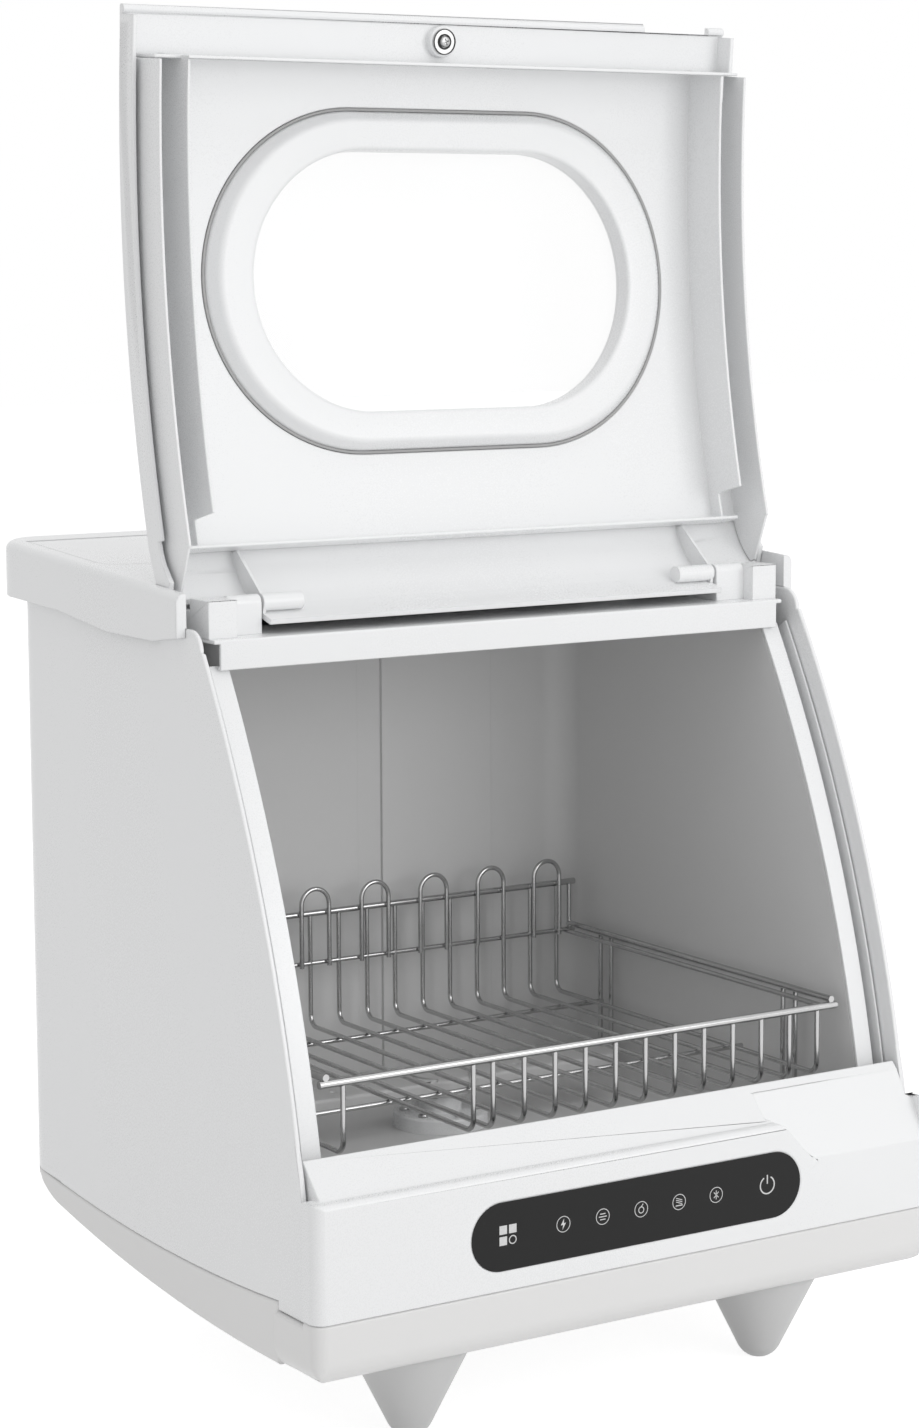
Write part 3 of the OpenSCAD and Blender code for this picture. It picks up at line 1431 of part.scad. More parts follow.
module window_pane() {
    color("#dfe8ec") from_front() lid_opened()
        curved_ring(lid_r - 0.1, lid_r - 0.1 - pane_t, ring_l - 30.6, ring_h - 30.6, 0, 0);
}
module catch_washer() {
    color(steel) from_front() lid_opened() on_lid(catch_a) translate([catch_x, 0, lid_r - 9.05])
        difference() {
            cylinder(d = 15, h = 1);
            translate([0, 0, -1]) cylinder(d = 3.4, h = 3);
        }
}
module catch_screw() {
    color(steel) from_front() lid_opened() on_lid(catch_a) translate([catch_x, 0, lid_r - 9.1])
        difference() {
            union() {
                translate([0, 0, -2.2]) cylinder(d = 7, h = 2.2);
                cylinder(d = 2.9, h = 6);
            }
            translate([-2.2, -0.4, -3]) cube([4.4, 0.8, 1.8]);
            translate([-0.4, -2.2, -3]) cube([0.8, 4.4, 1.8]);
        }
}

// One cross wire: down from the front rim, along the bottom and up to the rear rail
module cross_wire(x) {
    low = rack_floor + wire_bend;
    rod_z(x, rack_y, low, rack_z, wire_d);
    rod_z(x, rack_back, low, rear_rail_z, wire_d);
    rod_y(x, rack_y + wire_bend, rack_back - wire_bend, rack_floor, wire_d);
    translate([x, rack_y + wire_bend, low]) rotate([90, 180, 90]) bend(wire_bend, wire_d);
    translate([x, rack_back - wire_bend, low]) rotate([90, 90, 90]) bend(wire_bend, wire_d);
}
module plate_loop(x) {
    r = 10;
    y = rack_back - rim_d / 2 - wire_d / 2 + 0.7;
    top = rear_rail_z + 6;
    for (s = [-r, r]) rod_z(x + s, y, rack_z - 2, top, wire_d);
    translate([x, y, top]) rotate([90, 0, 0]) rotate_extrude(angle = 180) translate([r, 0])
        circle(d = wire_d, $fn = 24);
}
module wire_foot(y) {
    r = 6;
    x = rack_half - 2;
    z = tub_floor + seat + wire_d / 2 + r;
    for (s = [-r, r]) rod_z(x, y + s, z, rack_z + 4, wire_d);
    translate([x, y, z]) rotate([90, 180, 90]) rotate_extrude(angle = 180) translate([r, 0])
        circle(d = wire_d, $fn = 24);
}
module dish_rack() {
    group_x = -66;
    pitch = (rack_half - 14.1 - group_x) / 11;
    color(steel) from_front() {
        rod_x(-rack_half, rack_half, rack_y, rack_z, rim_d);
        rod_x(-rack_half, rack_half, rack_back, rear_rail_z, rim_d - 0.5);
        rod_x(-rack_half, rack_half, rack_back, rack_z, wire_d);
        both_sides() {
            rod_y(rack_half - 4, rack_y - 1, rack_back, rack_z + 3.8, rim_d - 0.5);
            rod_y(rack_half - 9, rack_y, rack_back, rack_z, wire_d);
            rod_z(rack_half - 4, rack_back, rack_z, rear_rail_z, wire_d);
            wire_foot(rack_y + 42);
            wire_foot(rack_back - 40);
        }
        cross_wire(15 - rack_half);
        cross_wire(group_x - 13);
        for (i = [0 : 11]) cross_wire(group_x + i * pitch);
        for (y = [rack_y + 90, rack_back - 35])
            rod_x(1 - rack_half, rack_half - 1, y, rack_floor - wire_d + 0.3, wire_d);
        for (i = [0 : loops - 1]) plate_loop((rack_half - 24) * (2 * i / (loops - 1) - 1));
    }
}

base_tray();
left_side_panel();
right_side_panel();
rear_panel();
top_cap();
front_fascia();
front_rail();
left_hinge_block();
right_hinge_block();
hinge_screws();
control_overlay();
touch_board();
catch_magnet();
lid_reed_switch();
front_left_foot();
front_right_foot();
rear_left_foot();
rear_right_foot();
foot_screws();
tub_liner();
tub_frame();
spray_hub();
hub_screws();
sump();
heater_ring();
wash_pump_housing();
wash_pump_motor();
feed_pipe();
drain_pump_housing();
drain_pump_motor();
drain_hose();
drain_port();
water_tank();
fill_funnel();
fill_hose();
board_box();
main_board();
cable_gland();
fan_housing();
air_duct();
rear_grille();
rear_screws();
lid_shell();
lid_liner();
window_ring();
window_seal();
window_pane();
catch_washer();
catch_screw();
left_hinge_pin();
right_hinge_pin();
fill_cover();
fill_cover_pins();
spray_arm();
wash_impeller();
drain_impeller();
fan_impeller();
dish_rack();
filter();
tank_float();
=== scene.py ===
# %% [markdown]
# # A countertop dishwasher with a lid that swings up
# The case, the tub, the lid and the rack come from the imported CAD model, which is the fixed
# frame here. This notebook gives each of them its finish, rounds the moulded edges that the eye
# catches, and adds the small things that a plain solid leaves out.

import json
from math import asin, cos, degrees, pi, radians, sin, sqrt

import bmesh
import bpy
from mathutils import Matrix, Vector


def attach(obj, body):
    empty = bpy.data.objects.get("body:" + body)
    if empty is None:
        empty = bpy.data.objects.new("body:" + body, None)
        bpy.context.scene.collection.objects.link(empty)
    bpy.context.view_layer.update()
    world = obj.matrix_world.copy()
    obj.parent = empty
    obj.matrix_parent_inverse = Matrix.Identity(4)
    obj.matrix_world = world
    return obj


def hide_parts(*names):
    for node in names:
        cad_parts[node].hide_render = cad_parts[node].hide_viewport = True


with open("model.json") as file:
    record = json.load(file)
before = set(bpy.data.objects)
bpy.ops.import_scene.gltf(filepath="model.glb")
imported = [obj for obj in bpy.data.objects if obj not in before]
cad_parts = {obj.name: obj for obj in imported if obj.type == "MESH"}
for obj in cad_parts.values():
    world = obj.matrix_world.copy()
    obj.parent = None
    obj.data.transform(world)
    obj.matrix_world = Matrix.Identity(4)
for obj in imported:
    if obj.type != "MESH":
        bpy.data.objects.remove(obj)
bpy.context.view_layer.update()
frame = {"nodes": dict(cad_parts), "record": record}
record = frame["record"]
scene = bpy.context.scene
scene.view_settings.view_transform = "Standard"

# %% [markdown]
# Sizes are easier to read in millimetres from the front of the fascia. The frame is centred over
# its footprint, so one helper shifts and scales a point, and one matrix does the same for a mesh.

# %% Places
HALF_DEPTH = 189.5
MM = 0.001
TO_FRAME = Matrix.Scale(MM, 4) @ Matrix.Translation((0, -HALF_DEPTH, 0))


def at(x, y, z):
    """A point given in millimetres from the front of the fascia, in the frame's metres"""
    return TO_FRAME @ Vector((x, y, z))


# %% [markdown]
# The open lid is the closed lid turned about its pins. A piece that belongs on the lid is drawn
# in the tangent plane of the lid's long arc and carried there by this matrix.

# %% Places on the open lid
PIN = (0, 148, 457)
ARC = (0, 841, 12)
LID_R = 851
TRAVEL = 164.5
WINDOW_A = 159.9
TIP_A = 180 - degrees(asin((156 - ARC[2]) / LID_R))
OPENED = (
    Matrix.Translation(PIN)
    @ Matrix.Rotation(radians(-TRAVEL), 4, "X")
    @ Matrix.Translation([-v for v in PIN])
)


def lid_place(angle):
    """From the tangent frame at an angle on the lid's arc, Z outward, to the open lid, in mm"""
    return OPENED @ Matrix.Translation(ARC) @ Matrix.Rotation(radians(angle - 90), 4, "X")


def on_lid(angle):
    return TO_FRAME @ lid_place(angle)


tip = on_lid(TIP_A) @ Vector((0, 0, LID_R))
print("tip angle", round(TIP_A, 2), "tip", [round(v, 3) for v in tip])

# %% [markdown]
# ## Finishes
# Shader trees read better as sums. `Wire` wraps a socket so that `1 - mask` or `noise * 0.1`
# adds the Math nodes, and `Finish.node` adds any other node from its type, settings and inputs.


# %% A socket that takes part in sums
class Wire:
    """An output socket that can be added, subtracted and multiplied"""

    def __init__(self, finish, socket):
        self.finish, self.socket = finish, socket

    def maths(self, operation, first, second=0.0):
        return self.finish.node(
            "ShaderNodeMath", {"operation": operation}, {0: first, 1: second}
        )

    def __add__(self, other):
        return self.maths("ADD", self, other)

    def __sub__(self, other):
        return self.maths("SUBTRACT", self, other)

    def __rsub__(self, other):
        return self.maths("SUBTRACT", other, self)

    def __mul__(self, other):
        return self.maths("MULTIPLY", self, other)

    __radd__ = __add__
    __rmul__ = __mul__


class Finish:
    """A material built from short calls"""

    def __init__(self, name):
        self.material = bpy.data.materials.new(name)
        self.material.use_nodes = True
        self.tree = self.material.node_tree
        self.tree.nodes.clear()

    def node(self, kind, settings=None, inputs=None, output=0):
        made = self.tree.nodes.new(kind)
        for name, value in (settings or {}).items():
            if name == "stops":
                self.set_stops(made.color_ramp, value)
            else:
                setattr(made, name, value)
        for name, value in (inputs or {}).items():
            if isinstance(value, Wire):
                self.tree.links.new(value.socket, made.inputs[name])
            else:
                made.inputs[name].default_value = value
        return Wire(self, made.outputs[output]) if len(made.outputs) else None

    def set_stops(self, ramp, stops):
        for i, (place, value) in enumerate(stops):
            stop = ramp.elements[i] if i < 2 else ramp.elements.new(place)
            stop.position, stop.color = place, (value, value, value, 1)

    def place(self, stretch=(1, 1, 1)):
        """Object coordinates in metres, stretched along the axes"""
        here = self.node("ShaderNodeTexCoord", output="Object")
        return self.node("ShaderNodeMapping", inputs={"Vector": here, "Scale": stretch})

    def noise(self, per_metre, detail=2.0, stretch=(1, 1, 1)):
        return self.node(
            "ShaderNodeTexNoise",
            inputs={"Vector": self.place(stretch), "Scale": per_metre, "Detail": detail},
        )

    def ramp(self, wire, *stops):
        return self.node("ShaderNodeValToRGB", {"stops": stops}, {"Fac": wire})

    def blend(self, share, low, high):
        """A colour between two, by a share from 0 to 1"""
        mixed = self.node(
            "ShaderNodeMix", {"data_type": "RGBA"}, {0: share, 6: low, 7: high}, output=2
        )
        return mixed

    def bump(self, height, depth, strength=1.0, rounded=None):
        inputs = {"Strength": strength, "Distance": depth, "Height": height}
        if rounded:
            inputs["Normal"] = self.node("ShaderNodeBevel", {"samples": 4}, {"Radius": rounded})
        return self.node("ShaderNodeBump", inputs=inputs)

    def shell(self, **inputs):
        """Principled shader on the output; underscores in names stand for spaces"""
        named = {k.replace("_", " "): v for k, v in inputs.items()}
        lit = self.node("ShaderNodeBsdfPrincipled", inputs=named)
        self.node("ShaderNodeOutputMaterial", inputs={"Surface": lit})
        return self.material


def grey(level, warm=0.0):
    """A grey written as its screen value from 0 to 255, as the shader's linear colour"""
    tints = (level * (1 + warm), level, level * (1 - warm))
    linear = [pow((t / 255 + 0.055) / 1.055, 2.4) if t > 10.3 else t / 255 / 12.92 for t in tints]
    return (*linear, 1)


def tinted(colour, k):
    return (*[c * k for c in colour[:3]], 1)


# %% [markdown]
# Moulded shells are not one flat colour. The skin has a fine orange peel from the tool, faint
# flow marks a hand wide, and every corner has a small radius that catches the light. Noise at
# two scales gives the first two, and a Bevel node feeding the normal gives the last one.


# %% Moulded plastic
def moulded(name, colour, rough=0.3, peel=1400, depth=0.00002, edge=0.0008, drift=0.02, **more):
    f = Finish(name)
    flow = f.noise(7, 3, (1, 1, 0.4))
    skin = f.noise(peel, 2)
    shade = f.blend(flow, tinted(colour, 1 - drift), tinted(colour, 1 + drift))
    return f.shell(
        Base_Color=shade,
        Roughness=(flow - 0.5) * 0.08 + (skin - 0.5) * 0.06 + rough,
        Normal=f.bump(skin, depth, 0.6, edge),
        **more,
    )


# %% [markdown]
# The rack is drawn stainless wire: bright, with faint lines along the draw and a soft haze. The
# screws share the metal but are rougher. The motors' cans are zinc plated and lightly mottled.


# %% Metals
def metal(name, colour, rough=0.22, marks=900, stretch=(1, 1, 1), haze=0.1, edge=0.0002):
    f = Finish(name)
    drawn = f.noise(marks, 3, stretch)
    cloud = f.noise(60, 2)
    return f.shell(
        Base_Color=f.blend(cloud, tinted(colour, 0.9), tinted(colour, 1.06)),
        Metallic=1.0,
        Roughness=drawn * haze + (cloud - 0.5) * 0.08 + rough - haze / 2,
        Normal=f.bump(drawn, 0.00001, 0.4, edge),
    )


# %% [markdown]
# The window is a clear curved sheet, so it is mostly see-through and only its gloss is seen. The
# board is solder mask with a weave under it, and its tracks are a stretched checker.


# %% Clear sheet, boards and rubber
def clear_sheet(name):
    f = Finish(name)
    smear = f.noise(12, 3)
    return f.shell(
        Base_Color=grey(246),
        Roughness=smear * 0.06 + 0.03,
        Alpha=smear * 0.05 + 0.06,
        IOR=1.49,
    )


def board(name):
    f = Finish(name)
    squares = {"Scale": 420.0, "Color1": (1, 1, 1, 1), "Color2": (0, 0, 0, 1)}
    weave = f.node("ShaderNodeTexChecker", inputs={"Vector": f.place(), **squares}, output=1)
    tracks = f.ramp(f.noise(160, 0, (1, 0.2, 1)), (0.5, 0.0), (0.54, 1.0))
    mask = f.blend(tracks, (0.012, 0.07, 0.03, 1), (0.03, 0.15, 0.06, 1))
    return f.shell(Base_Color=mask, Roughness=0.35, Normal=f.bump(weave, 0.00002, 0.5))


# %% One finish for each of the record's slots
FINISHES = {
    "white_plastic": moulded("white_shell", grey(236, -0.003), 0.28, drift=0.008),
    "warm_white_plastic": moulded("warm_white_base", grey(224, 0.002), 0.36, drift=0.01),
    "grey_plastic": moulded("light_grey_moulding", grey(204), 0.42, drift=0.015),
    "tub_grey": moulded("grey_tub", grey(216), 0.5, 1000, 0.00003, drift=0.02),
    "tank_plastic": moulded("milky_tank", grey(205, -0.02), 0.4, drift=0.03),
    "float_plastic": moulded("float_foam", grey(200, 0.05), 0.8, 2400, 0.0001, drift=0.05),
    "overlay_black": moulded("overlay_film", grey(26), 0.2, 900, 0.000006, 0.0003, 0.06, IOR=1.33),
    "black_plastic": moulded("black_moulding", grey(34), 0.45, drift=0.06),
    "black_rubber": moulded("black_rubber", grey(38), 0.7, 1800, 0.00005, drift=0.08),
    "grey_rubber": moulded("grey_rubber", grey(168), 0.7, 1800, 0.00005, drift=0.04),
    "magnet": metal("sintered_magnet", grey(90), 0.5, 2000, haze=0.3),
    "steel": metal("bright_screw", grey(188), 0.28),
    "rack_steel": metal("drawn_wire", grey(196), 0.2, 1500, (0.15, 0.15, 1)),
    "motor_metal": metal("plated_can", grey(170), 0.38, 400, haze=0.2),
    "board_green": board("circuit_board"),
    "window_clear": clear_sheet("clear_window"),
}
for part in record["subparts"]:
    node = frame["nodes"][part["node"]]
    node.data.materials.clear()
    node.data.materials.append(FINISHES[part["material_slot"]])
print("finishes", len(FINISHES), "nodes dressed", len(record["subparts"]))

# %% [markdown]
# ## Rounded mouldings
# The CAD solids end in square edges, and a real moulding never does. Most shells that show are
# copied, their triangles are joined back into faces, and their sharp edges are bevelled by a
# small radius. The copy then stands for the node.


# %% From a bmesh to a piece
def piece_from(shape, name, body, slot, smooth=28, finish=None):
    mesh = bpy.data.meshes.new(name)
    shape.to_mesh(mesh)
    shape.free()
    mesh.polygons.foreach_set("use_smooth", [True] * len(mesh.polygons))
    mesh.set_sharp_from_angle(angle=radians(smooth))
    mesh.materials.append(finish or FINISHES[slot])
    made = bpy.data.objects.new(name, mesh)
    scene.collection.objects.link(made)
    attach(made, body)
    return made


def even_normals(piece):
    """Lets the large faces decide the shading, so a bevel doesn't tint the flat beside it"""
    level = piece.modifiers.new("even_normals", "WEIGHTED_NORMAL")
    level.keep_sharp = True
    level.weight = 80


# %% Rounding the edges of a copied node
SLOTS = {part["node"]: part["material_slot"] for part in record["subparts"]}
BODIES = {node: body for body, nodes in record["behaviour"]["bodies"].items() for node in nodes}


def joined_copy(node):
    shape = bmesh.new()
    shape.from_mesh(frame["nodes"][node].data)
    bmesh.ops.remove_doubles(shape, verts=shape.verts[:], dist=2e-6)
    bmesh.ops.dissolve_limit(
        shape, angle_limit=radians(0.1), verts=shape.verts[:], edges=shape.edges[:]
    )
    return shape


def sharp_edges(shape, wanted, least=32):
    """Edges that turn by more than an angle and whose middle, in millimetres, is wanted"""
    found = []
    for edge in shape.edges:
        if len(edge.link_faces) != 2 or edge.calc_face_angle(0) < radians(least):
            continue
        middle = (edge.verts[0].co + edge.verts[1].co) / 2 / MM + Vector((0, HALF_DEPTH, 0))
        if wanted(middle):
            found.append(edge)
    return found


def rounded(node, *rounds):
    """A copy of a node with its edges rounded; each round is (radius in mm, segments, test)"""
    shape = joined_copy(node)
    for radius, segments, wanted in rounds:
        bmesh.ops.bevel(
            shape,
            geom=sharp_edges(shape, wanted),
            offset=radius * MM,
            segments=segments,
            profile=0.5,
            affect="EDGES",
            clamp_overlap=False,
            material=-1,
        )
    made = piece_from(shape, node + "_moulding", BODIES[node], SLOTS[node])
    even_normals(made)
    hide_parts(node)
    print(made.name, len(made.data.polygons), "faces")
    return made


def anywhere(p):
    return True


# %% [markdown]
# The cap's upper edge is a generous radius all round, and the fill cover's seam a small one.

# %% The cap and its cover
CAP_CORNER = (185, 351)
CAP_ROUND = 28
CAP_FRONT = (140, 465.4)
CAP_SLOPE = 0.06327


def cap_top(y):
    """Height of the cap's sloping top at a depth"""
    return CAP_FRONT[1] + (y - CAP_FRONT[0]) * CAP_SLOPE


def cap_reach(p):
    """How far a point lies outside the rectangle between the middles of the round corners"""
    return Vector((max(abs(p.x) - CAP_CORNER[0], 0), max(p.y - CAP_CORNER[1], 0))).length


def cap_rim(p):
    return p.z > cap_top(p.y) - 0.2 and cap_reach(p) > CAP_ROUND - 1


rounded("top_cap", (5, 5, cap_rim), (0.8, 2, lambda p: cap_reach(p) > CAP_ROUND - 1))
rounded("fill_cover", (0.6, 2, lambda p: p.z > cap_top(p.y) - 0.3))

# %% [markdown]
# The side panels' curved front edges, the fascia's deck and the base are rounded by a little
# over a millimetre, and the small hinge blocks by half of one. The rear panel stays as it is: its
# corners are round already, and the many holes in it leave a bevel no room.

# %% Case, fascia and hinge blocks
DECK_Y = 26
CASE_BACK = 360
PANEL_HALF = 206.5
SEAM_Z = 90
RAIL_TOP = 441


def curved_front(p):
    return DECK_Y < p.y < 300


def outer_base(p):
    return abs(p.x) > PANEL_HALF or p.y < 2 or p.y > CASE_BACK


for side in ("left_side_panel", "right_side_panel"):
    rounded(side, (1.1, 3, curved_front))
rounded("front_fascia", (0.9, 2, lambda p: p.z > SEAM_Z))
rounded("base_tray", (1.6, 3, outer_base))
rounded("front_rail", (0.8, 2, anywhere))
for side in ("left_hinge_block", "right_hinge_block"):
    rounded(side, (0.5, 2, lambda p: p.z > RAIL_TOP))

# %% [markdown]
# The tub is one vacuum-smooth moulding: soft where its walls meet its floor, and thin where its
# flange runs round the mouth. The hub and the spray arm are thicker and rounder.

# %% Tub, hub and arm
TUB_FLOOR = 123
HUB_Y = 210
ARM_Z = 143
ARM_HUB_R = 12


def arm_blade(p):
    return p.z > ARM_Z and (p.xy - Vector((0, HUB_Y))).length > ARM_HUB_R


rounded("tub_liner", (0.6, 2, lambda p: p.z > TUB_FLOOR + 1))
rounded("tub_frame", (0.5, 2, anywhere))
rounded("spray_hub", (1.2, 3, lambda p: p.z > TUB_FLOOR + 1))
rounded("spray_arm", (2.2, 4, arm_blade))
rounded("filter", (0.5, 2, lambda p: p.z > TUB_FLOOR - 1))

# %% [markdown]
# ## The lid
# Its outer skin and its liner are both thin, and their free edges show as bright rounded lines.
# The two corners at the tip, where the side walls end on the bead, have edges too short to bevel.

# %% Lid shell and liner
LID_FOOT = 475
TIP_CORNER = (196, 774)


def lid_edge(p):
    return p.z > LID_FOOT and not (abs(p.x) > TIP_CORNER[0] and p.z > TIP_CORNER[1])


rounded("lid_shell", (0.9, 3, lid_edge))
rounded("lid_liner", (0.7, 3, anywhere))

# %% [markdown]
# The frame of the window is a wide ring that swells up from the liner: a sloped outer wall, a
# nearly flat face and a short drop to the pane. Each step of that section is a stadium loop. A
# stadium is a circle with its halves pulled apart, and bridging the loops gives the surface,
# which is then bent on to the lid's arc.

# %% Window ring
RING = (315, 195)
CLEAR = (259, 150)
LINER_R = LID_R - 5.3
RING_STEPS = [
    (0.0, -3.0), (0.0, 0.2), (0.05, 1.6), (0.12, 4.0), (0.17, 5.8), (0.21, 7.0), (0.26, 7.7),
    (0.33, 8.0), (0.6, 8.0), (0.9, 7.9), (0.96, 7.5), (0.99, 6.6), (1.0, 5.2), (1.0, -5.0),
]


def stadium_loop(shape, length, height, level, points=128):
    """The edges of a stadium outline at a level"""
    turned = Matrix.Rotation(pi / points, 4, "Z")
    made = bmesh.ops.create_circle(shape, segments=points, radius=height / 2, matrix=turned)
    for vert in made["verts"]:
        vert.co.x += (length - height) / 2 * (1 if vert.co.x > 0 else -1)
        vert.co.z = level
    return list({e for v in made["verts"] for e in v.link_edges})


def bend_to_arc(shape, radius):
    """Takes Z as the height over a cylinder of that radius along X"""
    for vert in shape.verts:
        out = radius - vert.co.z
        vert.co.z = sqrt(out * out - vert.co.y * vert.co.y)


def window_ring():
    shape = bmesh.new()
    loops = []
    for share, raised in RING_STEPS:
        size = [a + (b - a) * share for a, b in zip(RING, CLEAR)]
        loops.append(stadium_loop(shape, *size, raised))
    for low, high in zip(loops, loops[1:] + loops[:1]):
        bmesh.ops.bridge_loops(shape, edges=low + high)
    bmesh.ops.recalc_face_normals(shape, faces=shape.faces)
    bend_to_arc(shape, LINER_R)
    shape.transform(on_lid(WINDOW_A))
    made = piece_from(shape, "window_frame", "lid", "white_plastic", 50)
    even_normals(made)
    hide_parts("window_ring")
    print("window frame", len(made.data.polygons), "faces")


window_ring()

# %% [markdown]
# ## Small things that show
# Icons are printed on the black film as a row of thin white shapes. Each starts inside the film
# and stands a fiftieth of a millimetre proud of it. All are plain marks: a grid, rings round
# simple signs, and a power mark at the end.


# %% Printed icons
ICON_Z = 120
INK = 0.12
PROUD = 0.02


class Print:
    """Collects flat ink shapes in the X-Z plane of the fascia, in millimetres"""

    def __init__(self):
        self.shape = bmesh.new()

    def place(self, x, z, turn=0.0):
        upright = Matrix.Rotation(radians(90), 4, "X")
        return Matrix.Translation((x, -PROUD, z)) @ Matrix.Rotation(radians(turn), 4, "Y") @ upright

    def ring(self, x, z, radius, line, points=48):
        outer = bmesh.ops.create_circle(
            self.shape, segments=points, radius=radius, matrix=self.place(x, z)
        )
        inner = bmesh.ops.create_circle(
            self.shape, segments=points, radius=radius - line, matrix=self.place(x, z)
        )
        edges = {e for v in outer["verts"] + inner["verts"] for e in v.link_edges}
        bmesh.ops.bridge_loops(self.shape, edges=list(edges))

    def bar(self, x, z, length, line, turn=0.0):
        bmesh.ops.create_grid(
            self.shape,
            size=0.5,
            matrix=self.place(x, z, turn) @ Matrix.Diagonal((length, line, 1, 1)),
        )

    def outline(self, *points):
        """One flat face through the given (x, z) points"""
        verts = [self.shape.verts.new((x, -PROUD, z)) for x, z in points]
        self.shape.faces.new(verts)

    def finish(self, name):
        faces = self.shape.faces[:]
        bmesh.ops.recalc_face_normals(self.shape, faces=faces)
        grown = bmesh.ops.extrude_face_region(self.shape, geom=faces)["geom"]
        moved = [v for v in grown if isinstance(v, bmesh.types.BMVert)]
        bmesh.ops.translate(self.shape, vec=(0, INK, 0), verts=moved)
        bmesh.ops.recalc_face_normals(self.shape, faces=self.shape.faces)
        self.shape.transform(TO_FRAME)
        return piece_from(self.shape, name, "base", "white_plastic", finish=ink("icon_ink"))


def ink(name):
    """Matt print, slightly uneven in density"""
    f = Finish(name)
    film = f.noise(900, 2)
    return f.shell(Base_Color=f.blend(film, grey(196), grey(222)), Roughness=film * 0.1 + 0.5)


def draw_icons():
    p = Print()
    for x, z in ((-92.2, 123.1), (-86.0, 123.1), (-92.2, 116.9)):
        p.bar(x, z, 4.9, 4.9)
    p.ring(-86.0, 116.9, 2.5, 0.6)
    for x in (-52.6, -26.2, 0, 26.2, 52.2):
        p.ring(x, ICON_Z, 4.6, 0.42)
    bolt = ((-52.1, 123.2), (-54.3, 119.6), (-52.8, 119.6))
    p.outline(*bolt, (-53.3, 116.8), (-50.9, 120.6), (-52.4, 120.6))
    for dz in (1.6, 0, -1.6):
        p.bar(-26.2, ICON_Z + dz, 5.2 - abs(dz), 0.55)
    p.ring(0, ICON_Z - 0.4, 2.0, 0.5, 24)
    p.bar(0.7, ICON_Z + 2.3, 1.8, 0.5, -50)
    for dz in (1.7, 0.6, -0.5):
        p.bar(26.2, ICON_Z + dz, 4.6, 0.4, 20)
    p.bar(26.2, ICON_Z - 2.0, 4.8, 0.6)
    p.bar(52.2, ICON_Z, 4.6, 0.5, 45)
    p.bar(52.2, ICON_Z, 4.6, 0.5, -45)
    p.bar(52.2, ICON_Z, 5.2, 0.45, 90)
    power_mark(p, 88.7)
    return p.finish("printed_icons")


def power_mark(p, x):
    """A ring open at the top with a bar in the gap"""
    lean = radians(28)
    start, end = (
        p.shape.verts.new((x + r * sin(lean), -PROUD, ICON_Z + r * cos(lean))) for r in (4.6, 5.4)
    )
    edge = p.shape.edges.new((start, end))
    bmesh.ops.spin(
        p.shape,
        geom=[start, end, edge],
        cent=(x, -PROUD, ICON_Z),
        axis=(0, 1, 0),
        angle=radians(304),
        steps=40,
    )
    p.bar(x, ICON_Z + 3.4, 5.2, 0.8, 90)


draw_icons()

# %% [markdown]
# The hub is held by six pan-head screws. A pan head is a short profile spun about its axis, and
# the cross is cut with two thin blades by a boolean modifier, which is then applied. The blades
# cross each other, so the modifier is told to expect a tool that meets itself.


# %% Hub screws
def pan_head(shape, where, radius, height):
    """A domed head with its flat under face at the given place"""
    arc = ((1, 0), (1, 0.35), (0.86, 0.78), (0.5, 1), (0, 1))
    verts = [shape.verts.new(where @ Vector((r * radius, 0, z * height))) for r, z in arc]
    edges = [shape.edges.new(pair) for pair in zip(verts, verts[1:])]
    axis = (where.to_3x3() @ Vector((0, 0, 1))).normalized()
    bmesh.ops.spin(
        shape,
        geom=verts + edges,
        cent=where.translation,
        axis=axis,
        angle=2 * pi,
        steps=28,
        use_merge=True,
    )


def blade(shape, where, length, width, deep, top):
    size = Matrix.Diagonal((length, width, deep, 1))
    bmesh.ops.create_cube(
        shape, size=1, matrix=where @ Matrix.Translation((0, 0, top - deep / 2 + 0.3)) @ size
    )


def crossed_screws(name, places, radius, height, body, replaced):
    heads, cutters = bmesh.new(), bmesh.new()
    for where in places:
        pan_head(heads, where, radius, height)
        for turn in (0, 90):
            spun = where @ Matrix.Rotation(radians(turn + 20), 4, "Z")
            blade(cutters, spun, radius * 1.15, radius * 0.24, height * 0.9, height)
    bmesh.ops.remove_doubles(heads, verts=heads.verts[:], dist=0.001)
    rims = [e for e in heads.edges if e.is_boundary]
    bmesh.ops.holes_fill(heads, edges=rims)
    bmesh.ops.recalc_face_normals(heads, faces=heads.faces)
    heads.transform(TO_FRAME)
    cutters.transform(TO_FRAME)
    made = piece_from(heads, name, body, "steel")
    tool_mesh = bpy.data.meshes.new("blades")
    cutters.to_mesh(tool_mesh)
    cutters.free()
    tool = bpy.data.objects.new("blades", tool_mesh)
    scene.collection.objects.link(tool)
    cut = made.modifiers.new("cross", "BOOLEAN")
    cut.operation, cut.solver, cut.object = "DIFFERENCE", "EXACT", tool
    cut.use_self = True
    bpy.context.view_layer.update()
    graph = bpy.context.evaluated_depsgraph_get()
    shaped = bpy.data.meshes.new_from_object(made.evaluated_get(graph))
    made.modifiers.clear()
    made.data = shaped
    bpy.data.objects.remove(tool)
    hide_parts(replaced)
    print(name, len(made.data.polygons), "faces")


HUB_TOP = 132.05
HUB_SCREWS_R = 22
HUB_MIDDLE = Vector((0, HUB_Y, HUB_TOP))
HUB = [
    Matrix.Translation(HUB_MIDDLE + HUB_SCREWS_R * Vector((cos(radians(a)), sin(radians(a)), 0)))
    for a in range(30, 390, 60)
]
crossed_screws("hub_cross_screws", HUB, 3.1, 2.2, "base", "hub_screws")
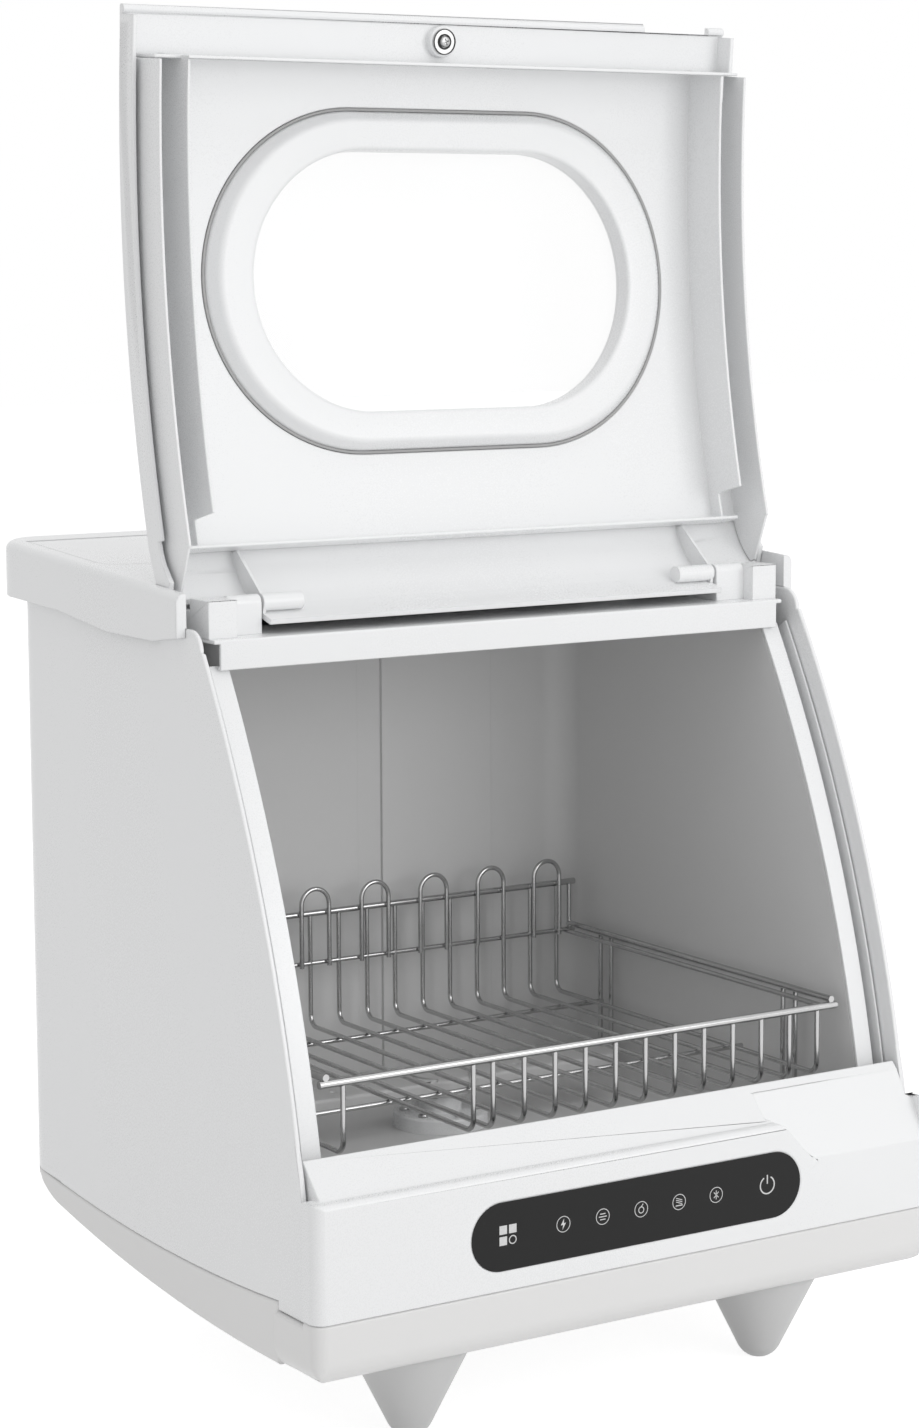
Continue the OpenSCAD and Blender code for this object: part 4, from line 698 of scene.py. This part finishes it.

# %% [markdown]
# The catch is a bright washer that the magnet under the deck pulls on, and its screw has the same
# head. Shade falls in the gap round the screw and on the edge near the rim, and two thin black
# rings are painted shade that stands for it.

# %% The catch on the lid
CATCH_FROM_TIP = 0.95
CATCH_X = 0.5
CATCH_DEEP = 9.05
CATCH = (
    lid_place(TIP_A - CATCH_FROM_TIP)
    @ Matrix.Translation((CATCH_X, 0, LID_R - CATCH_DEEP))
    @ Matrix.Rotation(pi, 4, "X")
)
crossed_screws("catch_cross_screw", [CATCH], 3.3, 2.0, "lid", "catch_screw")


# Painted shade: these black rings stand for the shade round the screw and at the washer's rim.
def catch_shade_rings():
    """Two flat black rings of painted shade with their feet on the washer's face"""
    shape = bmesh.new()
    foot, top = 0.01, 0.4
    for inner, outer in ((3.5, 4.5), (6.9, 7.45)):
        loops = []
        for radius, height in ((inner, foot), (inner, top), (outer, top), (outer, foot)):
            where = CATCH @ Matrix.Translation((0, 0, height))
            made = bmesh.ops.create_circle(shape, segments=48, radius=radius, matrix=where)
            loops.append(list({e for v in made["verts"] for e in v.link_edges}))
        for low, high in zip(loops, loops[1:] + loops[:1]):
            bmesh.ops.bridge_loops(shape, edges=low + high)
    bmesh.ops.recalc_face_normals(shape, faces=shape.faces)
    shape.transform(TO_FRAME)
    return piece_from(shape, "catch_shade_rings", "lid", "black_rubber")


print("catch rings", len(catch_shade_rings().data.polygons), "faces")

# %% [markdown]
# ## Camera and studio
# The camera stands to the left of the case and a little above its middle, where the photograph
# was taken from. Its place and lens were fitted to the case's edges.

# %% Camera
PHOTO = (919, 1428)
FOCAL_PX = 3320.3


def looking_along(forward, roll):
    ahead = Vector(forward).normalized()
    right = ahead.cross(Vector((0, 0, 1))).normalized()
    up = right.cross(ahead)
    right, up = right * cos(roll) + up * sin(roll), up * cos(roll) - right * sin(roll)
    return Matrix((right, up, -ahead)).transposed().to_4x4()


lens = bpy.data.cameras.new("camera")
lens.sensor_width = 36
lens.lens = FOCAL_PX * 36 / max(PHOTO)
camera = bpy.data.objects.new("camera", lens)
camera.matrix_world = Matrix.Translation(at(-1052.63, -1461.86, 645.32)) @ looking_along(
    (0.53329, 0.83502, -0.13546), radians(-0.24)
)
scene.collection.objects.link(camera)
scene.camera = camera
print("lens", round(lens.lens, 2), "camera", [round(v, 3) for v in camera.location])

# %% [markdown]
# The floor and the sky are white to the camera and to mirrors, and plain to the light itself,
# so the object is lit at its own level while the picture's background stays white.


# %% Floor and sky
def seen_directly(f):
    """1 for camera, mirror and see-through rays, 0 for light that falls on the object"""
    path = [f.node("ShaderNodeLightPath", output=name) for name in
            ("Is Camera Ray", "Is Glossy Ray", "Is Transmission Ray")]
    return path[0].maths("MAXIMUM", path[0].maths("MAXIMUM", path[0], path[1]), path[2])


def white_floor():
    f = Finish("floor")
    lit = f.node("ShaderNodeBsdfDiffuse", inputs={"Color": (0.9, 0.9, 0.9, 1)})
    glow = f.node("ShaderNodeEmission", inputs={"Color": (1, 1, 1, 1), "Strength": 0.88})
    shaded = f.node("ShaderNodeBsdfDiffuse", inputs={"Color": (0.3, 0.3, 0.3, 1)})
    bright = f.node("ShaderNodeAddShader", inputs={0: glow, 1: shaded})
    both = f.node("ShaderNodeMixShader", inputs={0: seen_directly(f), 1: lit, 2: bright})
    f.node("ShaderNodeOutputMaterial", inputs={"Surface": both})
    return f.material


def add_floor():
    shape = bmesh.new()
    bmesh.ops.create_grid(shape, x_segments=1, y_segments=1, size=12)
    mesh = bpy.data.meshes.new("floor")
    shape.to_mesh(mesh)
    shape.free()
    mesh.materials.append(white_floor())
    floor = bpy.data.objects.new("floor", mesh)
    scene.collection.objects.link(floor)


def add_sky(level):
    """The world's own nodes, made by the same short calls as a finish"""
    world = bpy.data.worlds.new("sky")
    scene.world = world
    world.use_nodes = True
    f = Finish.__new__(Finish)
    f.tree = world.node_tree
    f.tree.nodes.clear()
    ambient = f.node("ShaderNodeBackground", inputs={"Color": (1, 1, 1, 1), "Strength": level})
    white = f.node("ShaderNodeBackground", inputs={"Color": (1, 1, 1, 1), "Strength": 1.0})
    both = f.node("ShaderNodeMixShader", inputs={0: seen_directly(f), 1: ambient, 2: white})
    f.node("ShaderNodeOutputWorld", inputs={"Surface": both})


add_floor()
add_sky(0.70)

# %% [markdown]
# Three soft boxes light the case: the main one in front and to the right, a wide one overhead,
# and a weak one at the height of the open lid that reaches into it. The left side has only the
# sky, so it stays a step darker than the front, as in the photograph.


# %% Soft boxes
def soft_box(name, place, target, size, watts):
    light = bpy.data.lights.new(name, "AREA")
    light.shape = "RECTANGLE"
    light.size, light.size_y = size
    light.energy = watts
    box = bpy.data.objects.new(name, light)
    box.location = place
    box.rotation_mode = "QUATERNION"
    box.rotation_quaternion = (Vector(target) - Vector(place)).to_track_quat("-Z", "Y")
    scene.collection.objects.link(box)


MIDDLE = (0, 0, 0.35)
soft_box("main_box", (0.9, -2.6, 1.6), MIDDLE, (1.8, 1.6), 12)
soft_box("top_box", (0.0, -0.4, 2.6), MIDDLE, (2.2, 2.0), 9)
soft_box("lid_box", (0.5, -1.5, 0.7), (0, 0, 0.7), (1.0, 0.6), 3.5)
